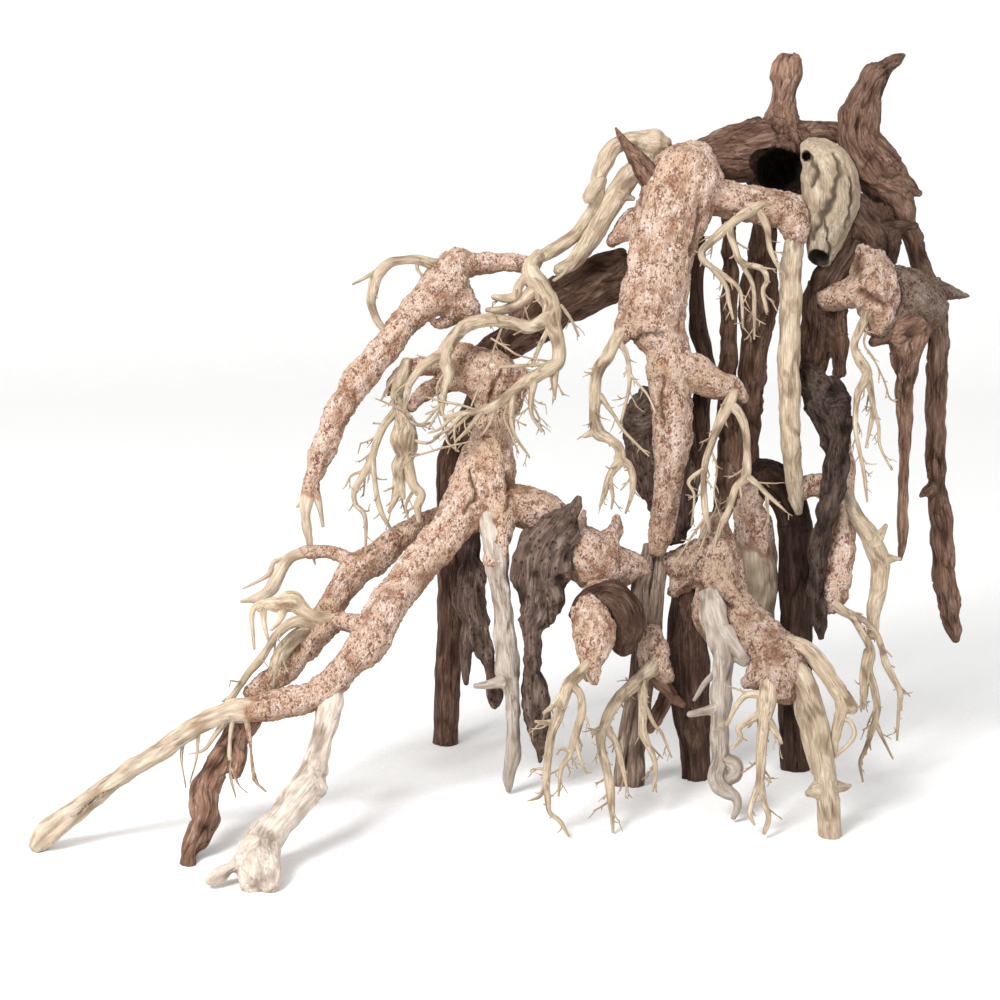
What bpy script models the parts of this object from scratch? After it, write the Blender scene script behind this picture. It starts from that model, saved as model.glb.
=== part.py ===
"""Aquarium root: an assembly of driftwood, dark stakes and pale rootlets, joined by wood grit.

Every limb, root and twig is a loft along a route. A route's points are written in
millimetres on a drawing plane that stands in front of the root: (across, up, back, radius).
The plane is seen from a standing eye that looks slightly down, and place() carries a point
from the plane to its real place. Feet are run past the floor and cut flat on it.
"""
import math

import bmesh
import bpy
import numpy as np
from mathutils import Vector

# The sight line that the drawing plane is laid on, in millimetres and degrees
PLANE_DISTANCE = 1400.0
PLANE_CENTRE_HEIGHT = 195.8
SIGHT_TILT = 11.0

# The origin is under the middle of the whole root, on the floor
MIDDLE_ACROSS = 18.1
MIDDLE_BACK = -70.4

MM = 0.001
FLOOR = 0.0
TOUCH_GAP = 0.45        # between pieces that are glued together
CUTTER_OVERSHOOT = 0.5  # how far a cutter passes the end of the route it follows
WELD_DISTANCE = 0.01    # points closer than this after a cut are one point

# Sides of a loft's section
LIMB = 8
ROOT = 5
TWIG = 4

# How many radii apart the rings of a loft stand
RING_SPACING = {LIMB: 2.05, ROOT: 3.3, TWIG: 8.0}
SAMPLES_PER_SPAN = 12

# How thick the twigs of a spray are beside their written radii
FINENESS = {
    "spray_front_left": 0.7, "spray_front_mid": 0.74, "spray_trunk_left": 0.85,
    "spray_trunk_right": 0.66, "spray_right": 0.68, "spray_far_right": 0.7, "side_roots": 0.85,
}

# Colour, roughness
MATERIALS = {
    "wood_grit": ((0.62, 0.45, 0.36), 0.95),
    "pale_root": ((0.72, 0.64, 0.48), 0.70),
    "dark_hardwood": ((0.12, 0.075, 0.055), 0.75),
    "weathered_wood": ((0.22, 0.17, 0.13), 0.85),
    "grey_driftwood": ((0.20, 0.18, 0.17), 0.85),
    "bleached_wood": ((0.62, 0.58, 0.52), 0.80),
}

# Each piece: its material, its runs and, where it has any, the runs that hollow it out.
# A run is the number of sides and its points, and a third value, where given, flattens it
# from front to back.
# Pieces that come first keep their shape, and later ones are cut to fit against them.
PIECES = {}

# Posts and stakes that carry the root
PIECES["post_left"] = ("dark_hardwood", [
    (LIMB, [(-12, 80, 28, 8), (-17, 66, 36, 8), (-24, 52, 44, 8), (-32, 36, 52, 8.5), (-36, 15, 58, 8.8),
            (-35, -20, 66, 9), (-33.5, -55, 72, 10), (-34, -85, 78, 10), (-36, -110, 83, 9.5),
            (-37.5, -140, 88, 8.8), (-38, -178, 95, 8.8)]),
])
PIECES["stake_right"] = ("dark_hardwood", [
    (LIMB, [(112, -38, -8, 5), (110, -60, -8, 6), (108, -85, -7, 6), (106, -103, -6, 6),
            (101, -130, -3, 6), (97, -160, -1, 6.5), (95, -185, 0, 6.8), (94, -208, 1, 7)]),
])
PIECES["stake_left"] = ("dark_hardwood", [
    (LIMB, [(104, -32, -12, 4), (101, -50, -12, 5.5), (98, -65, -11, 6.5), (99, -85, -9, 5.5),
            (97, -103, -7, 5), (94, -130, -5, 4.8), (89, -155, -3, 4.5), (85, -180, -1, 4),
            (83, -208, 0, 4)]),
])
PIECES["post_mid"] = ("dark_hardwood", [
    (LIMB, [(132, -60, 4, 11), (131, -90, 7, 13.5), (132, -115, 9, 14.5), (133, -135, 10, 14.5),
            (134, -152, 11, 13.5), (136, -170, 13, 10.5), (137, -190, 15, 9.3), (137, -208, 17, 9)]),
])
PIECES["post_right"] = ("dark_hardwood", [
    (LIMB, [(204, 6, 34, 10), (207, -18, 34, 12), (208, -45, 34, 12.5), (208, -75, 34, 12),
            (207, -105, 34, 11.5), (206, -135, 35, 11), (206, -165, 36, 11), (206.5, -198, 38, 11)]),
    (LIMB, [(208, -20, 34, 10), (200, 2, 34, 12), (190, 15, 34, 13), (178, 22, 34, 8)]),
])
PIECES["log_back"] = ("wood_grit", [
    (LIMB, [(183, 12, 39, 8), (174, -2, 43, 10), (177, -20, 45, 14), (179, -40, 46, 15),
            (180, -62, 46, 15), (179, -82, 46, 13)]),
])

# Bodies of wood grit over the limbs
PIECES["trunk_limb"] = ("wood_grit", [
    (LIMB, [(139, 243, 4, 13), (135, 236, 2, 21.5), (131, 227, -1, 26.5), (124.5, 212, -4, 27),
            (120, 198, -6, 26), (115.5, 183, -9, 24.5), (112, 168, -12, 22.5), (110, 152, -15, 23),
            (107, 136, -18, 24.5), (111, 121, -20, 20.5), (117, 106, -22, 16.5), (119, 90, -24, 15.5),
            (120, 72, -26, 14.5), (120.5, 52, -27, 13.8), (120, 36, -27, 12.6), (118.5, 18, -26, 11),
            (116.5, 0, -24, 9.8), (113, -20, -21, 9), (109.5, -37, -17, 6)]),
    (ROOT, [(110, 194, -4, 13), (96, 196, -2, 10), (86, 188, 2, 8), (78, 181, 6, 5)]),
    (ROOT, [(98, 132, -18, 13), (90, 122, -20, 10), (84, 114, -22, 7)]),
    (LIMB, [(120, 92, -24, 13), (134, 89, -24, 13.5), (146, 84, -25, 11.5), (157, 80, -26, 9.5),
            (166, 76, -27, 7), (172, 70, -27, 4)]),
])
PIECES["long_limb"] = ("wood_grit", [
    (LIMB, [(-3, 62, 16, 14), (-5, 46, 10, 14.5), (-8, 32, 4, 18), (-10, 18, -2, 21.5), (-15, 3, -9, 23),
            (-29, -13, -20, 16), (-45, -33, -32, 14.5), (-60, -50, -42, 14), (-74, -68, -52, 13.5),
            (-85, -86, -60, 14.5), (-93, -101, -67, 14), (-105, -113, -73, 11.5), (-116, -126, -79, 11),
            (-130, -137, -85, 10.5), (-146, -141, -90, 10.5), (-162, -144, -94, 10), (-179, -147, -98, 9),
            (-196, -151, -101, 8), (-212, -158, -104, 7.8), (-226, -167, -107, 7.6),
            (-244, -180, -111, 7), (-262, -191, -114, 7.2), (-280, -204, -117, 7.2),
            (-296, -217, -120, 8), (-310, -227, -122, 9), (-320, -236, -123.5, 9),
            (-325, -244, -125, 6)]),
    (LIMB, [(3, 60, 18, 12), (0, 72, 17, 17), (-5, 84, 16, 19.5), (-11, 94, 16, 15), (-15, 102, 16, 9)]),
    (LIMB, [(-8, 90, 15, 16), (-20, 98, 13, 12), (-29, 104, 11, 8), (-35, 107, 9, 4)]),
    (LIMB, [(6, 80, 14, 14), (15, 84, 10, 9.5), (23, 86, 6, 4)]),
    (ROOT, [(-18, 92, 12, 12), (-32, 93, 9, 8.5), (-46, 94, 4, 6.5), (-60, 92.5, 0, 6),
            (-71, 89, -2, 4.5)]),
    (ROOT, [(-16, 84, 10, 12), (-32, 84, 6, 8), (-45, 79, 2, 6.5), (-55, 73, 0, 6), (-62, 65, -2, 4.5)]),
    (ROOT, [(-70, 89, -2, 5), (-76, 82, -3, 4), (-78, 74, -3, 2.4)]),
    (LIMB, [(0, 0, -15, 14), (-1, -15, -19, 12), (-2, -30, -22, 10), (-2, -44, -23, 8.8)]),
    (ROOT, [(-89, -90, -60, 11), (-101, -86, -53, 8), (-112, -84, -45, 6.5), (-121, -84, -39, 5)]),
    (TWIG, [(-220, -163, -105, 2.6), (-223, -180, -107, 1.7), (-220, -201, -108, 1.1)]),
    (TWIG, [(-211, -158, -104, 2.6), (-212, -178, -105, 1.7), (-217, -198, -106, 1.1)]),
    (TWIG, [(-190, -153, -101, 3.4), (-200, -165, -103, 2.6), (-207, -175, -104, 2),
            (-218, -178, -106, 1.1)]),
    (TWIG, [(-187, -152, -102, 2.8), (-189, -168, -105, 2), (-189, -191, -107, 1.7),
            (-185, -208, -108, 1)]),
    (TWIG, [(-188, -188, -107, 1.6), (-183, -199, -107, 1.2), (-177, -205, -107, .8)]),
    (TWIG, [(-178, -152, -100, 2.6), (-175, -170, -101, 1.8), (-172, -194, -102, 1.5),
            (-164, -204, -103, .9)]),
])
PIECES["bridge_body"] = ("wood_grit", [
    (LIMB, [(6, -2, -6, 14), (19, -5, -10, 15), (32, -11, -14, 15), (44, -22, -16, 14),
            (55, -33, -17, 17.5), (67, -42, -17, 22), (80, -47, -15, 18), (93, -47, -13, 11),
            (103, -48, -11, 7)]),
    (ROOT, [(53, -26, -18, 9), (57, -16, -19, 5), (59, -8, -19, 2.4)]),
    (ROOT, [(75, -30, -17, 10), (81, -20, -17, 6), (81.5, -13, -17, 3.5)]),
])
PIECES["centre_body"] = ("wood_grit", [
    (LIMB, [(151, -12, -11, 9), (151, -27, -12, 13), (152, -45, -14, 17), (156, -62, -20, 16),
            (164, -76, -30, 14), (175, -88, -44, 14.5), (187, -100, -58, 16), (195, -112, -68, 18),
            (198, -126, -74, 16), (198, -138, -76, 10)]),
    (LIMB, [(151, -36, -12, 13), (138, -42, -9, 14), (125, -45, -8, 12), (115, -44, -9, 7)]),
    (ROOT, [(135, -50, -9, 11), (127, -58, -7, 9), (122, -64, -6, 5)]),
    (ROOT, [(150, -58, -16, 11), (143, -74, -18, 9.5), (144, -88, -19, 8), (147, -97, -20, 4)]),
    (ROOT, [(188, -98, -58, 13), (201, -104, -66, 9), (212, -106, -70, 5)]),
    (ROOT, [(190, -115, -66, 14), (180, -124, -66, 10), (173, -128, -65, 5)]),
])
PIECES["stake_lobe"] = ("wood_grit", [
    (LIMB, [(106, -90, -13, 6), (107, -101, -15, 10), (109, -113, -17, 10.5), (117, -125, -16, 6)]),
])
PIECES["front_lobe"] = ("wood_grit", [
    (LIMB, [(72, -46, -20, 8), (70, -58, -26, 9), (66, -70, -36, 10), (64, -80, -44, 13.5),
            (65.5, -91, -51, 16), (66, -101, -56, 14), (64.5, -111, -62, 10), (63.5, -118, -67, 7),
            (60, -122, -71, 6)]),
    (ROOT, [(64.5, -112, -62, 8), (65, -121, -68, 6), (66, -126, -71, 4)]),
])
PIECES["second_limb"] = ("wood_grit", [
    (LIMB, [(-36, -8, 8, 6), (-54, -16, 3, 7.5), (-65, -23, -2, 9), (-76, -31, -7, 10),
            (-87, -41, -11, 12), (-100, -49, -17, 12.5), (-110, -61, -24, 10.5), (-118, -72, -30, 10.5),
            (-123, -86, -37, 12), (-134, -98, -44, 10.5), (-143, -110, -51, 9.5), (-151, -120, -58, 9.5),
            (-162, -129, -66, 9.5), (-173, -140, -75, 9)]),
    (ROOT, [(-102, -45, -15, 8), (-112, -38, -13, 5.5), (-125, -36, -14, 5.5), (-139, -37.5, -16, 4.8),
            (-148, -42, -18, 5), (-156, -55, -20, 5), (-163, -65, -22, 5), (-171, -69, -23, 4),
            (-181, -71, -24, 2)]),
    (TWIG, [(-148, -42, -18, 3), (-158, -43, -20, 2.3), (-163, -53, -22, 2.2), (-180, -62, -26, 1.1)]),
])
PIECES["upper_left_limb"] = ("wood_grit", [
    (LIMB, [(23, 165, 14, 5), (12, 166, 13, 6.5), (-3, 166, 12, 7), (-17, 165, 9, 8.5), (-31, 163, 6, 14),
            (-39, 150, 3, 16), (-54, 137, 0, 12.5), (-68, 123, -3, 10.8), (-80, 107, -7, 10.6),
            (-91, 94, -10, 10.6), (-101, 82, -13, 10.2), (-110, 66, -15, 9.8), (-118, 49.5, -16, 9.2),
            (-124, 34.5, -17, 8.6), (-129, 20, -17, 7), (-134, 9, -17, 5.3), (-136, -5, -16, 4.8),
            (-136, -17, -15, 4), (-133, -32, -13, 3), (-129, -46, -11, 1.4)]),
    (LIMB, [(-33, 148, 4, 13), (-27, 138, 6, 11), (-21, 130, 8, 8.5), (-17, 126, 9, 5)]),
    (TWIG, [(-130, 12, -17, 4), (-126.5, -3, -16, 3), (-124, -18, -15, 1.6)]),
    (TWIG, [(-135, 2, -16, 3.5), (-142, -5, -16, 1.5)]),
    (ROOT, [(-29, 133, 7, 9), (-36, 126, 5, 5.6), (-44, 123, 4.5, 3.7), (-49, 127, 5, 2.2)]),
])
PIECES["right_body"] = ("wood_grit", [
    (LIMB, [(256, 179, 4, 8), (259, 165, 2, 14), (264, 147, 0, 19), (266, 131, -2, 15),
            (263, 118, -2, 8)]),
    (ROOT, [(254, 147, 1, 13), (241, 144, 7, 11), (230, 141, 13, 9)]),
])
PIECES["dark_joint"] = ("wood_grit", [
    (LIMB, [(271, 160, 0, 7), (281, 151, -3, 14), (291, 142, -3, 18), (299, 133, -2, 15),
            (303, 123, 0, 9)]),
    (ROOT, [(284, 140, -2, 14), (274, 128, -2, 12), (266, 118, -2, 7)]),
    (TWIG, [(304, 147, 3, 9), (316, 145, 5, 5), (328, 143, 5, 1.8)]),
])
PIECES["right_lower_limb"] = ("wood_grit", [
    (LIMB, [(240, 50, 12, 5), (240, 26, 12, 8), (239, 5, 12, 9.5), (238, -15, 11, 10),
            (236, -35, 9, 11.5), (234, -52, 7, 12.5), (231, -68, 5, 10), (230, -77, 4, 6)]),
    (ROOT, [(233, 10, 13, 9), (221, 10, 14, 8.5), (213, 9, 14, 8), (208, 2, 17, 6)]),
])

# Dark and weathered wood at the top
PIECES["beam"] = ("weathered_wood", [
    (LIMB, [(94, 160, 28, 13), (86, 156, 33, 16), (70, 152, 37, 18), (52, 144, 38, 18),
            (35, 133, 37, 16.5), (15, 117, 35, 14), (0, 107, 32, 12), (-14, 99, 28, 8)]),
    (TWIG, [(84, 170, 28, 6), (68, 168, 27, 5), (54, 160, 27, 3.5)]),
])
PIECES["crown_log"] = ("weathered_wood", [
    (LIMB, [(202, 309, 24, 8.5), (201.6, 304, 24, 10.6), (201, 294, 24, 10.4), (199, 282, 24, 8),
            (198, 272, 25, 10), (197, 262, 27, 16), (197, 250, 29, 23), (196, 236, 29, 27),
            (196, 222, 27, 22), (197, 209, 25, 11)]),
    (LIMB, [(128, 239, 12, 9), (140, 239, 13, 14), (154, 241, 15, 17.5), (168, 243, 18, 20),
            (184, 247, 23, 21)]),
    (ROOT, [(204, 258, 30, 8), (225, 258, 30, 7.5), (241, 256, 27, 7)]),
], [
    (LIMB, [(196, 230, -8, 14), (196, 230, 12, 16), (195, 232, 36, 12)]),
    (ROOT, [(184, 236, -6, 8), (183, 237, 12, 9)]),
])
PIECES["horn_root"] = ("weathered_wood", [
    (LIMB, [(283, 312, 18, 1.5), (277, 308, 18, 4), (270, 303, 18, 6.8), (263, 296, 17, 9.8),
            (257, 283, 16, 11.5), (252, 268, 15, 14.2), (251, 254, 15, 15.2), (254, 244, 14, 15.5),
            (262, 233, 13, 17), (270, 222, 13, 17), (277, 211, 12, 13), (282, 200, 13, 9),
            (286, 190, 16, 7), (291, 177, 21, 6.8), (295, 164, 25, 7), (300, 150, 29, 7.6),
            (304, 135, 31, 8.2), (306, 115, 33, 7.8), (306, 95, 35, 7.5), (305.5, 72, 37, 7),
            (305.5, 48, 40, 7), (305.5, 25, 43, 7), (306.5, 2, 46, 7.3), (309, -22, 49, 8.2),
            (311, -50, 53, 8), (314, -78, 57, 6.8), (317, -92, 59, 5.3), (319, -99, 60, 2.8)]),
    (ROOT, [(274, 222, 10, 12), (284, 219, 9, 8), (293, 215, 8, 3)]),
    (TWIG, [(304, 10, 45, 5), (298, 6, 45, 4), (295, 3, 45, 2)]),
])
PIECES["knuckle"] = ("pale_root", [
    (LIMB, [(215, 250, 5, 6), (219, 245, 4, 11), (224, 239, 3, 15), (228, 232, 2, 18.5),
            (231, 221, 1, 20), (232, 208, 0, 19.8), (231, 198, 0, 17.5), (229, 189, -1, 14.5),
            (226, 177, -2, 11.5), (223, 168, -4, 8)]),
], [
    (ROOT, [(213, 241, -16, 4), (214, 241, -4, 4), (217, 240, 6, 3)]),
    (ROOT, [(221, 160, -18, 6.5), (222, 166, -9, 7.5), (226, 178, 0, 6)]),
])
PIECES["grit_bar"] = ("wood_grit", [
    (LIMB, [(144, 213, -2, 13), (160, 210, -3, 13), (176, 207, -4, 13), (191, 204, -4, 13.5),
            (203, 201, -4, 14), (212, 198, -4, 8)]),
    (LIMB, [(203, 198, -5, 13), (206, 189, -5, 11), (207, 181, -5, 8)]),
])
PIECES["dark_knot"] = ("weathered_wood", [
    (LIMB, [(244, 212, 8, 8), (252, 200, 6, 14), (262, 188, 4, 17), (268, 176, 4, 13), (268, 164, 5, 6)]),
    (TWIG, [(268, 190, 4, 8), (280, 192, 3, 5.5), (291, 192, 3, 2.6)]),
    (LIMB, [(250, 190, 8, 11), (242, 174, 11, 12.5), (232, 159, 14, 12), (223, 146, 19, 9)]),
])
PIECES["thorn"] = ("weathered_wood", [
    (ROOT, [(81, 260, -10, .9), (86, 251.5, -10, 3.4), (93, 242, -10, 5.6), (102, 230, -10, 8.5),
            (109, 220, -10, 9)]),
])

# Brown posts and weathered pieces behind the trunk
PIECES["brown_post_right"] = ("weathered_wood", [
    (LIMB, [(191, 214, 30, 8.5), (187, 196, 32, 9), (184, 178, 34, 10), (182, 156, 36, 12.5),
            (181, 137, 36, 13), (179, 114, 36, 10.5), (177, 92, 36, 9.5), (176, 72, 36, 8.5),
            (176, 56, 36, 6.5), (177, 44, 36, 4.5), (178, 32, 36, 4), (179, 22, 36, 4.5)]),
])
PIECES["brown_post_mid"] = ("weathered_wood", [
    (LIMB, [(160, 205, 18, 5), (160.5, 180, 24, 5.5), (160.5, 150, 30, 5.5), (160, 118, 32, 5.5),
            (159.5, 85, 30, 6.5), (160, 62, 26, 8), (161, 42, 22, 9), (160, 20, 16, 9), (157, 0, 8, 8),
            (153, -16, 0, 6)]),
])
PIECES["dark_strand"] = ("dark_hardwood", [
    (ROOT, [(140, 182, 2, 4), (138, 160, 3, 5), (138, 140, 3, 5.5), (139, 120, 2, 6), (143, 105, 0, 6),
            (145, 92, -4, 6), (142, 76, -1, 6.5), (139, 60, 2, 7.5), (139, 42, 4, 7.5), (138, 24, 6, 6)]),
])
PIECES["grey_slab"] = ("grey_driftwood", [
    (LIMB, [(114, 74, 8, 18), (113, 60, 10, 26), (113, 43, 10, 27), (116, 25, 9, 26), (119, 6, 8, 21),
            (121, -12, 5, 15), (122, -28, 1, 8)], 0.36),
    (LIMB, [(112, 64, 10, 17), (99, 56, 10, 11), (87, 55, 10, 3)], 0.36),
])
PIECES["wide_brown_piece"] = ("weathered_wood", [
    (LIMB, [(222, 152, 22, 8), (221, 142, 23, 10), (222, 126, 24, 11), (221, 108, 22, 11),
            (219, 94, 19, 10), (216, 83, 14, 7)]),
    (ROOT, [(238, 136, 14, 5.5), (238, 118, 17, 6), (238, 105, 17, 6), (238, 90, 16, 4.5)]),
    (TWIG, [(224, 132, 24, 6), (232, 124, 20, 5), (238, 116, 17, 4)]),
])
PIECES["lower_grey_root"] = ("grey_driftwood", [
    (LIMB, [(214, 92, 10, 6), (221, 80, 6, 12), (228, 71, 3, 16.5), (232.5, 56, -1, 13),
            (236, 40, -4, 10), (235, 28, -5, 8.8), (233.5, 14, -6, 8.6), (231, 1, -7, 8),
            (228, -12, -7, 7.2), (224, -32, -6, 6.8), (222, -50, -4, 6.4), (222, -68, -4, 6),
            (224, -86, -5, 5.2), (225, -97, -5, 2.2)]),
    (TWIG, [(234, 68, 0, 8), (243, 71, -1, 3.6)]),
])

# The pale branches that join the top to the left side
PIECES["pale_branch_upper"] = ("pale_root", [
    (ROOT, [(114, 248, 2, 7), (108, 249, 1, 10.5), (100, 250, -1, 9), (91, 251, -4, 6.6),
            (80, 247, -6, 6.2), (74, 238, -6, 6), (69, 226, -5, 5.4), (67, 207, -2, 4.9),
            (60, 195, 2, 4.8), (52, 185, 6, 5), (42, 178, 9, 5), (30, 171, 11, 4.5)]),
    (ROOT, [(70, 224, -5, 5), (65, 217, -8, 4.8), (62, 212, -10, 4.5)]),
])
PIECES["pale_branch_lower"] = ("pale_root", [
    (ROOT, [(103, 238, -2, 6), (93, 229, -3, 7.5), (86, 220, -4, 7.8), (79, 209, -3, 7.5),
            (72, 198, -1, 7.2), (66, 187, 1, 6.8), (59, 176, 4, 6.5), (51, 166, 7, 5.5),
            (42, 161, 9, 4.5)]),
    (TWIG, [(84, 214, -4, 5), (93, 211, -5, 1.8)]),
])
PIECES["hub_roots"] = ("pale_root", [
    (ROOT, [(27, 171, 8, 4.5), (22, 160, 4, 7), (29, 147, 0, 7), (35.5, 137, -4, 6.2), (36, 125, -7, 6),
            (40, 113, -10, 5), (41.5, 102, -13, 4.6), (40, 95, -15, 4.7), (33, 91, -16, 5),
            (24, 86, -16, 4.6), (14, 79, -17, 4.2), (6, 73, -18, 3.7), (-3, 66.5, -19, 3.5),
            (-14.5, 62, -20, 3), (-28, 60, -20, 2.2), (-39, 58, -20, 1.3)]),
    (ROOT, [(35, 128, -7, 5.4), (21, 121, -8, 4.6), (8, 124, -10, 4.6), (-7, 126, -10, 4.6),
            (-19, 124, -10, 4.7), (-28.5, 118.5, -11, 5), (-35, 110, -12, 5.2), (-39, 101, -13, 5),
            (-36, 88, -14, 4), (-39, 76, -16, 2.8), (-41, 60, -17, 1.4)]),
    (ROOT, [(-38, 103, -13, 4.5), (-50, 97, -15, 3.6), (-58, 89, -17, 3), (-64, 80, -18, 2.5),
            (-65, 73, -19, 2), (-67, 62, -19, 1.1)]),
    (ROOT, [(27, 150, 1, 5), (15, 139, 0, 4.2), (4, 133.5, -1, 3.5), (-9, 133, -1, 1.8)]),
    (TWIG, [(22, 160, 3, 4), (14, 151, -1, 3.3), (11, 143, -3, 3.2), (4, 141, -3, 3.2),
            (-4, 142, -2, 2.2)]),
    (TWIG, [(34, 120, -8, 2), (27, 106, -12, 1.6), (22.6, 94, -15, 1.4)]),
    (TWIG, [(39, 94, -15, 3), (38, 71, -16, 1.2)]),
    (TWIG, [(24, 86, -17, 3), (21.5, 63, -18, 1.7), (29, 48, -19, .9)]),
    (TWIG, [(9, 75, -18, 3), (8.6, 50, -19, 1.5), (20.5, 30, -20, .8)]),
    (TWIG, [(-13, 62, -20, 2.4), (-22, 50, -21, 1.4), (-31, 41, -22, .9)]),
    (TWIG, [(-27, 60, -20, 2), (-36, 50, -21, 1.3), (-46, 44, -21, .9)]),
])
PIECES["loop_root"] = ("pale_root", [
    (ROOT, [(-44, 164, 3, 4.5), (-57, 168, -1, 3.4), (-67, 168, -3, 3.3), (-77, 166, -5, 3.6),
            (-86, 157, -7, 4), (-89, 146, -8, 3.9), (-90, 137, -8, 3.3), (-86, 126, -7, 2.8),
            (-79, 117, -6, 2.4)]),
    (TWIG, [(-88, 159, -7, 1.8), (-103, 151, -11, .8)]),
])
PIECES["tan_knot_root"] = ("pale_root", [
    (ROOT, [(-65, 95, -4, 5), (-71.6, 77, -8, 4.6), (-70.5, 64, -10, 4.6), (-68, 54, -11, 6),
            (-67, 43, -12, 9.5), (-66.5, 31, -13, 7), (-71, 23, -14, 5), (-70, 14, -14, 4),
            (-68, 2, -15, 1.8)]),
    (TWIG, [(-71, 20, -14, 4), (-73, 3, -15, 2.8), (-77.5, -8, -16, 1.3)]),
    (TWIG, [(-66, 29, -13, 5), (-61, 11, -14, 3.6), (-55, 4, -14, 3.2), (-57.6, -5, -15, 2.8),
            (-56.5, -15, -15, 1.6)]),
    (TWIG, [(-71, 64, -10, 4), (-80, 54, -12, 2.8), (-86, 42, -14, 2.8), (-89.5, 30, -16, 2.8),
            (-96, 17, -18, 2.4), (-102, 6, -20, 2.1), (-101, -3, -21, 1.9), (-94.5, -12, -22, 1.6),
            (-94, -38, -23, .8)]),
    (TWIG, [(-89.5, 30, -16, 2.6), (-88, 18, -18, 2), (-86, 2, -19, 1.9), (-82, -11, -20, 1.7),
            (-76, -21, -20, 1)]),
])

# The left side: a dark foot, a pale foot and the roots on the second limb
PIECES["dark_foot"] = ("weathered_wood", [
    (LIMB, [(-171, -147, -78, 7), (-180, -160, -87, 8.5), (-190, -174, -97, 9), (-201, -190, -108, 9.5),
            (-208, -206, -118, 10), (-206, -221, -127, 9.3), (-211, -234, -134, 8.8),
            (-217, -247, -141, 6.8), (-219, -264, -149, 6)]),
    (ROOT, [(-178, -157, -86, 6), (-182, -172, -95, 6), (-183, -184, -101, 6.5),
            (-185, -191, -104, 4.5)]),
])
PIECES["pale_foot"] = ("bleached_wood", [
    (LIMB, [(-117, -132, -78, 8), (-120, -150, -90, 8.8), (-124, -166, -103, 8.2),
            (-129, -182, -115, 8.6), (-134, -198, -127, 11.5), (-143, -211, -138, 12),
            (-155, -226, -150, 11.5), (-166, -240, -162, 14), (-171, -254, -175, 15),
            (-171, -270, -190, 11)]),
    (ROOT, [(-174, -248, -172, 9), (-186, -256, -179, 4.6), (-195, -262, -184, 5.6),
            (-202, -266, -188, 4.6)]),
    (ROOT, [(-166, -250, -172, 11), (-162, -260, -182, 9), (-161, -270, -190, 7)]),
    (ROOT, [(-132, -196, -125, 9), (-126, -203, -129, 6)]),
])
PIECES["bulb_root"] = ("pale_root", [
    (ROOT, [(-121, -83, -44, 5), (-131, -81, -50, 4.6), (-139, -76, -52, 5.5), (-146, -71, -53, 8),
            (-154, -73, -54, 6), (-162, -73, -56, 4), (-168, -76, -57, 2.6)]),
    (TWIG, [(-166, -74, -57, 3), (-165, -87, -58, 1.8), (-162, -99, -58, 1)]),
    (TWIG, [(-160, -72, -56, 3.4), (-173, -77, -57, 2.2), (-172, -104, -59, 1)]),
    (TWIG, [(-151, -73, -54, 5), (-154, -84, -56, 2), (-160, -91, -58, 1)]),
])
PIECES["side_roots"] = ("pale_root", [
    (ROOT, [(-133, -88, -48, 6), (-141, -85, -55, 5), (-149, -88, -58, 4.3), (-157, -95, -61, 3.7),
            (-162, -103, -64, 3.3), (-168, -112, -68, 3.2), (-176, -121, -74, 3.2), (-182, -130, -80, 3),
            (-189, -140, -88, 2.8)]),
    (ROOT, [(-137, -92, -51, 6), (-145, -98, -57, 6.5), (-153, -107, -62, 6), (-158, -118, -66, 4.5),
            (-160, -130, -72, 3)]),
])
PIECES["pale_strut"] = ("bleached_wood", [
    (LIMB, [(-8, -10, -22, 8), (-3, -38, -24, 8), (0, -62, -24, 7.4), (3, -85, -24, 7.2),
            (4.5, -105, -24, 8.4), (5.5, -121, -24, 8.8), (8.5, -137, -24, 5.2), (9, -155, -23, 5),
            (9.5, -172, -22, 5.6), (8, -184, -21, 5), (6, -195, -20, 4), (6, -204, -19, 1.8)]),
    (TWIG, [(2, -127, -24, 5), (-8, -129, -24, 3), (-17, -130, -24, 2)]),
])
PIECES["grey_stub"] = ("grey_driftwood", [
    (ROOT, [(-17, -14, -4, 5), (-19, -38, -7, 6.5), (-20, -54, -8, 9.5), (-20, -70, -8, 10.5),
            (-17, -86, -8, 10), (-14, -98, -8, 8), (-9, -112, -8, 5.5), (-5, -124, -8, 5),
            (-3, -136, -8, 6), (-3, -143, -8, 3.5)]),
    (TWIG, [(-20, -84, -8, 7), (-23, -98, -8, 5), (-24, -112, -8, 4), (-23.5, -128, -8, 2)]),
])
PIECES["driftwood_plate"] = ("grey_driftwood", [
    (LIMB, [(55, 2, -34, 3), (51, -7, -34, 7), (45, -17, -34, 13), (37, -27, -34, 19), (31, -39, -33, 22),
            (29, -53, -31, 21), (28, -67, -29, 18), (26, -79, -28, 13), (22, -91, -27, 8),
            (22, -105, -26, 6), (23, -119, -25, 6)], 0.36),
    (LIMB, [(32, -58, -30, 15), (38, -71, -28, 9), (40, -79, -28, 3.5)], 0.4),
    (ROOT, [(23, -113, -25, 6), (24, -129, -24, 8.5), (25, -146, -24, 10), (27, -160, -24, 8.5),
            (29, -173, -24, 4.5), (28, -183, -24, 1.8)]),
])
PIECES["bark_cap"] = ("dark_hardwood", [
    (LIMB, [(51, -82, -42, 4), (58, -73, -41, 7.5), (70, -68, -39, 11), (82, -73, -37, 14),
            (88, -86, -37, 13.5), (88, -98, -39, 10), (84, -106, -42, 6)]),
])
PIECES["dark_stub"] = ("weathered_wood", [
    (ROOT, [(107, -124, -16, 5), (115, -131, -14, 5.3), (122, -138, -11, 4.5), (128, -143, -9, 2.5)]),
    (ROOT, [(105, -160, -8, 3.5), (109, -152, -7, 5.5), (114, -143, -7, 5.5), (118, -134, -10, 5)]),
])

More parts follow.
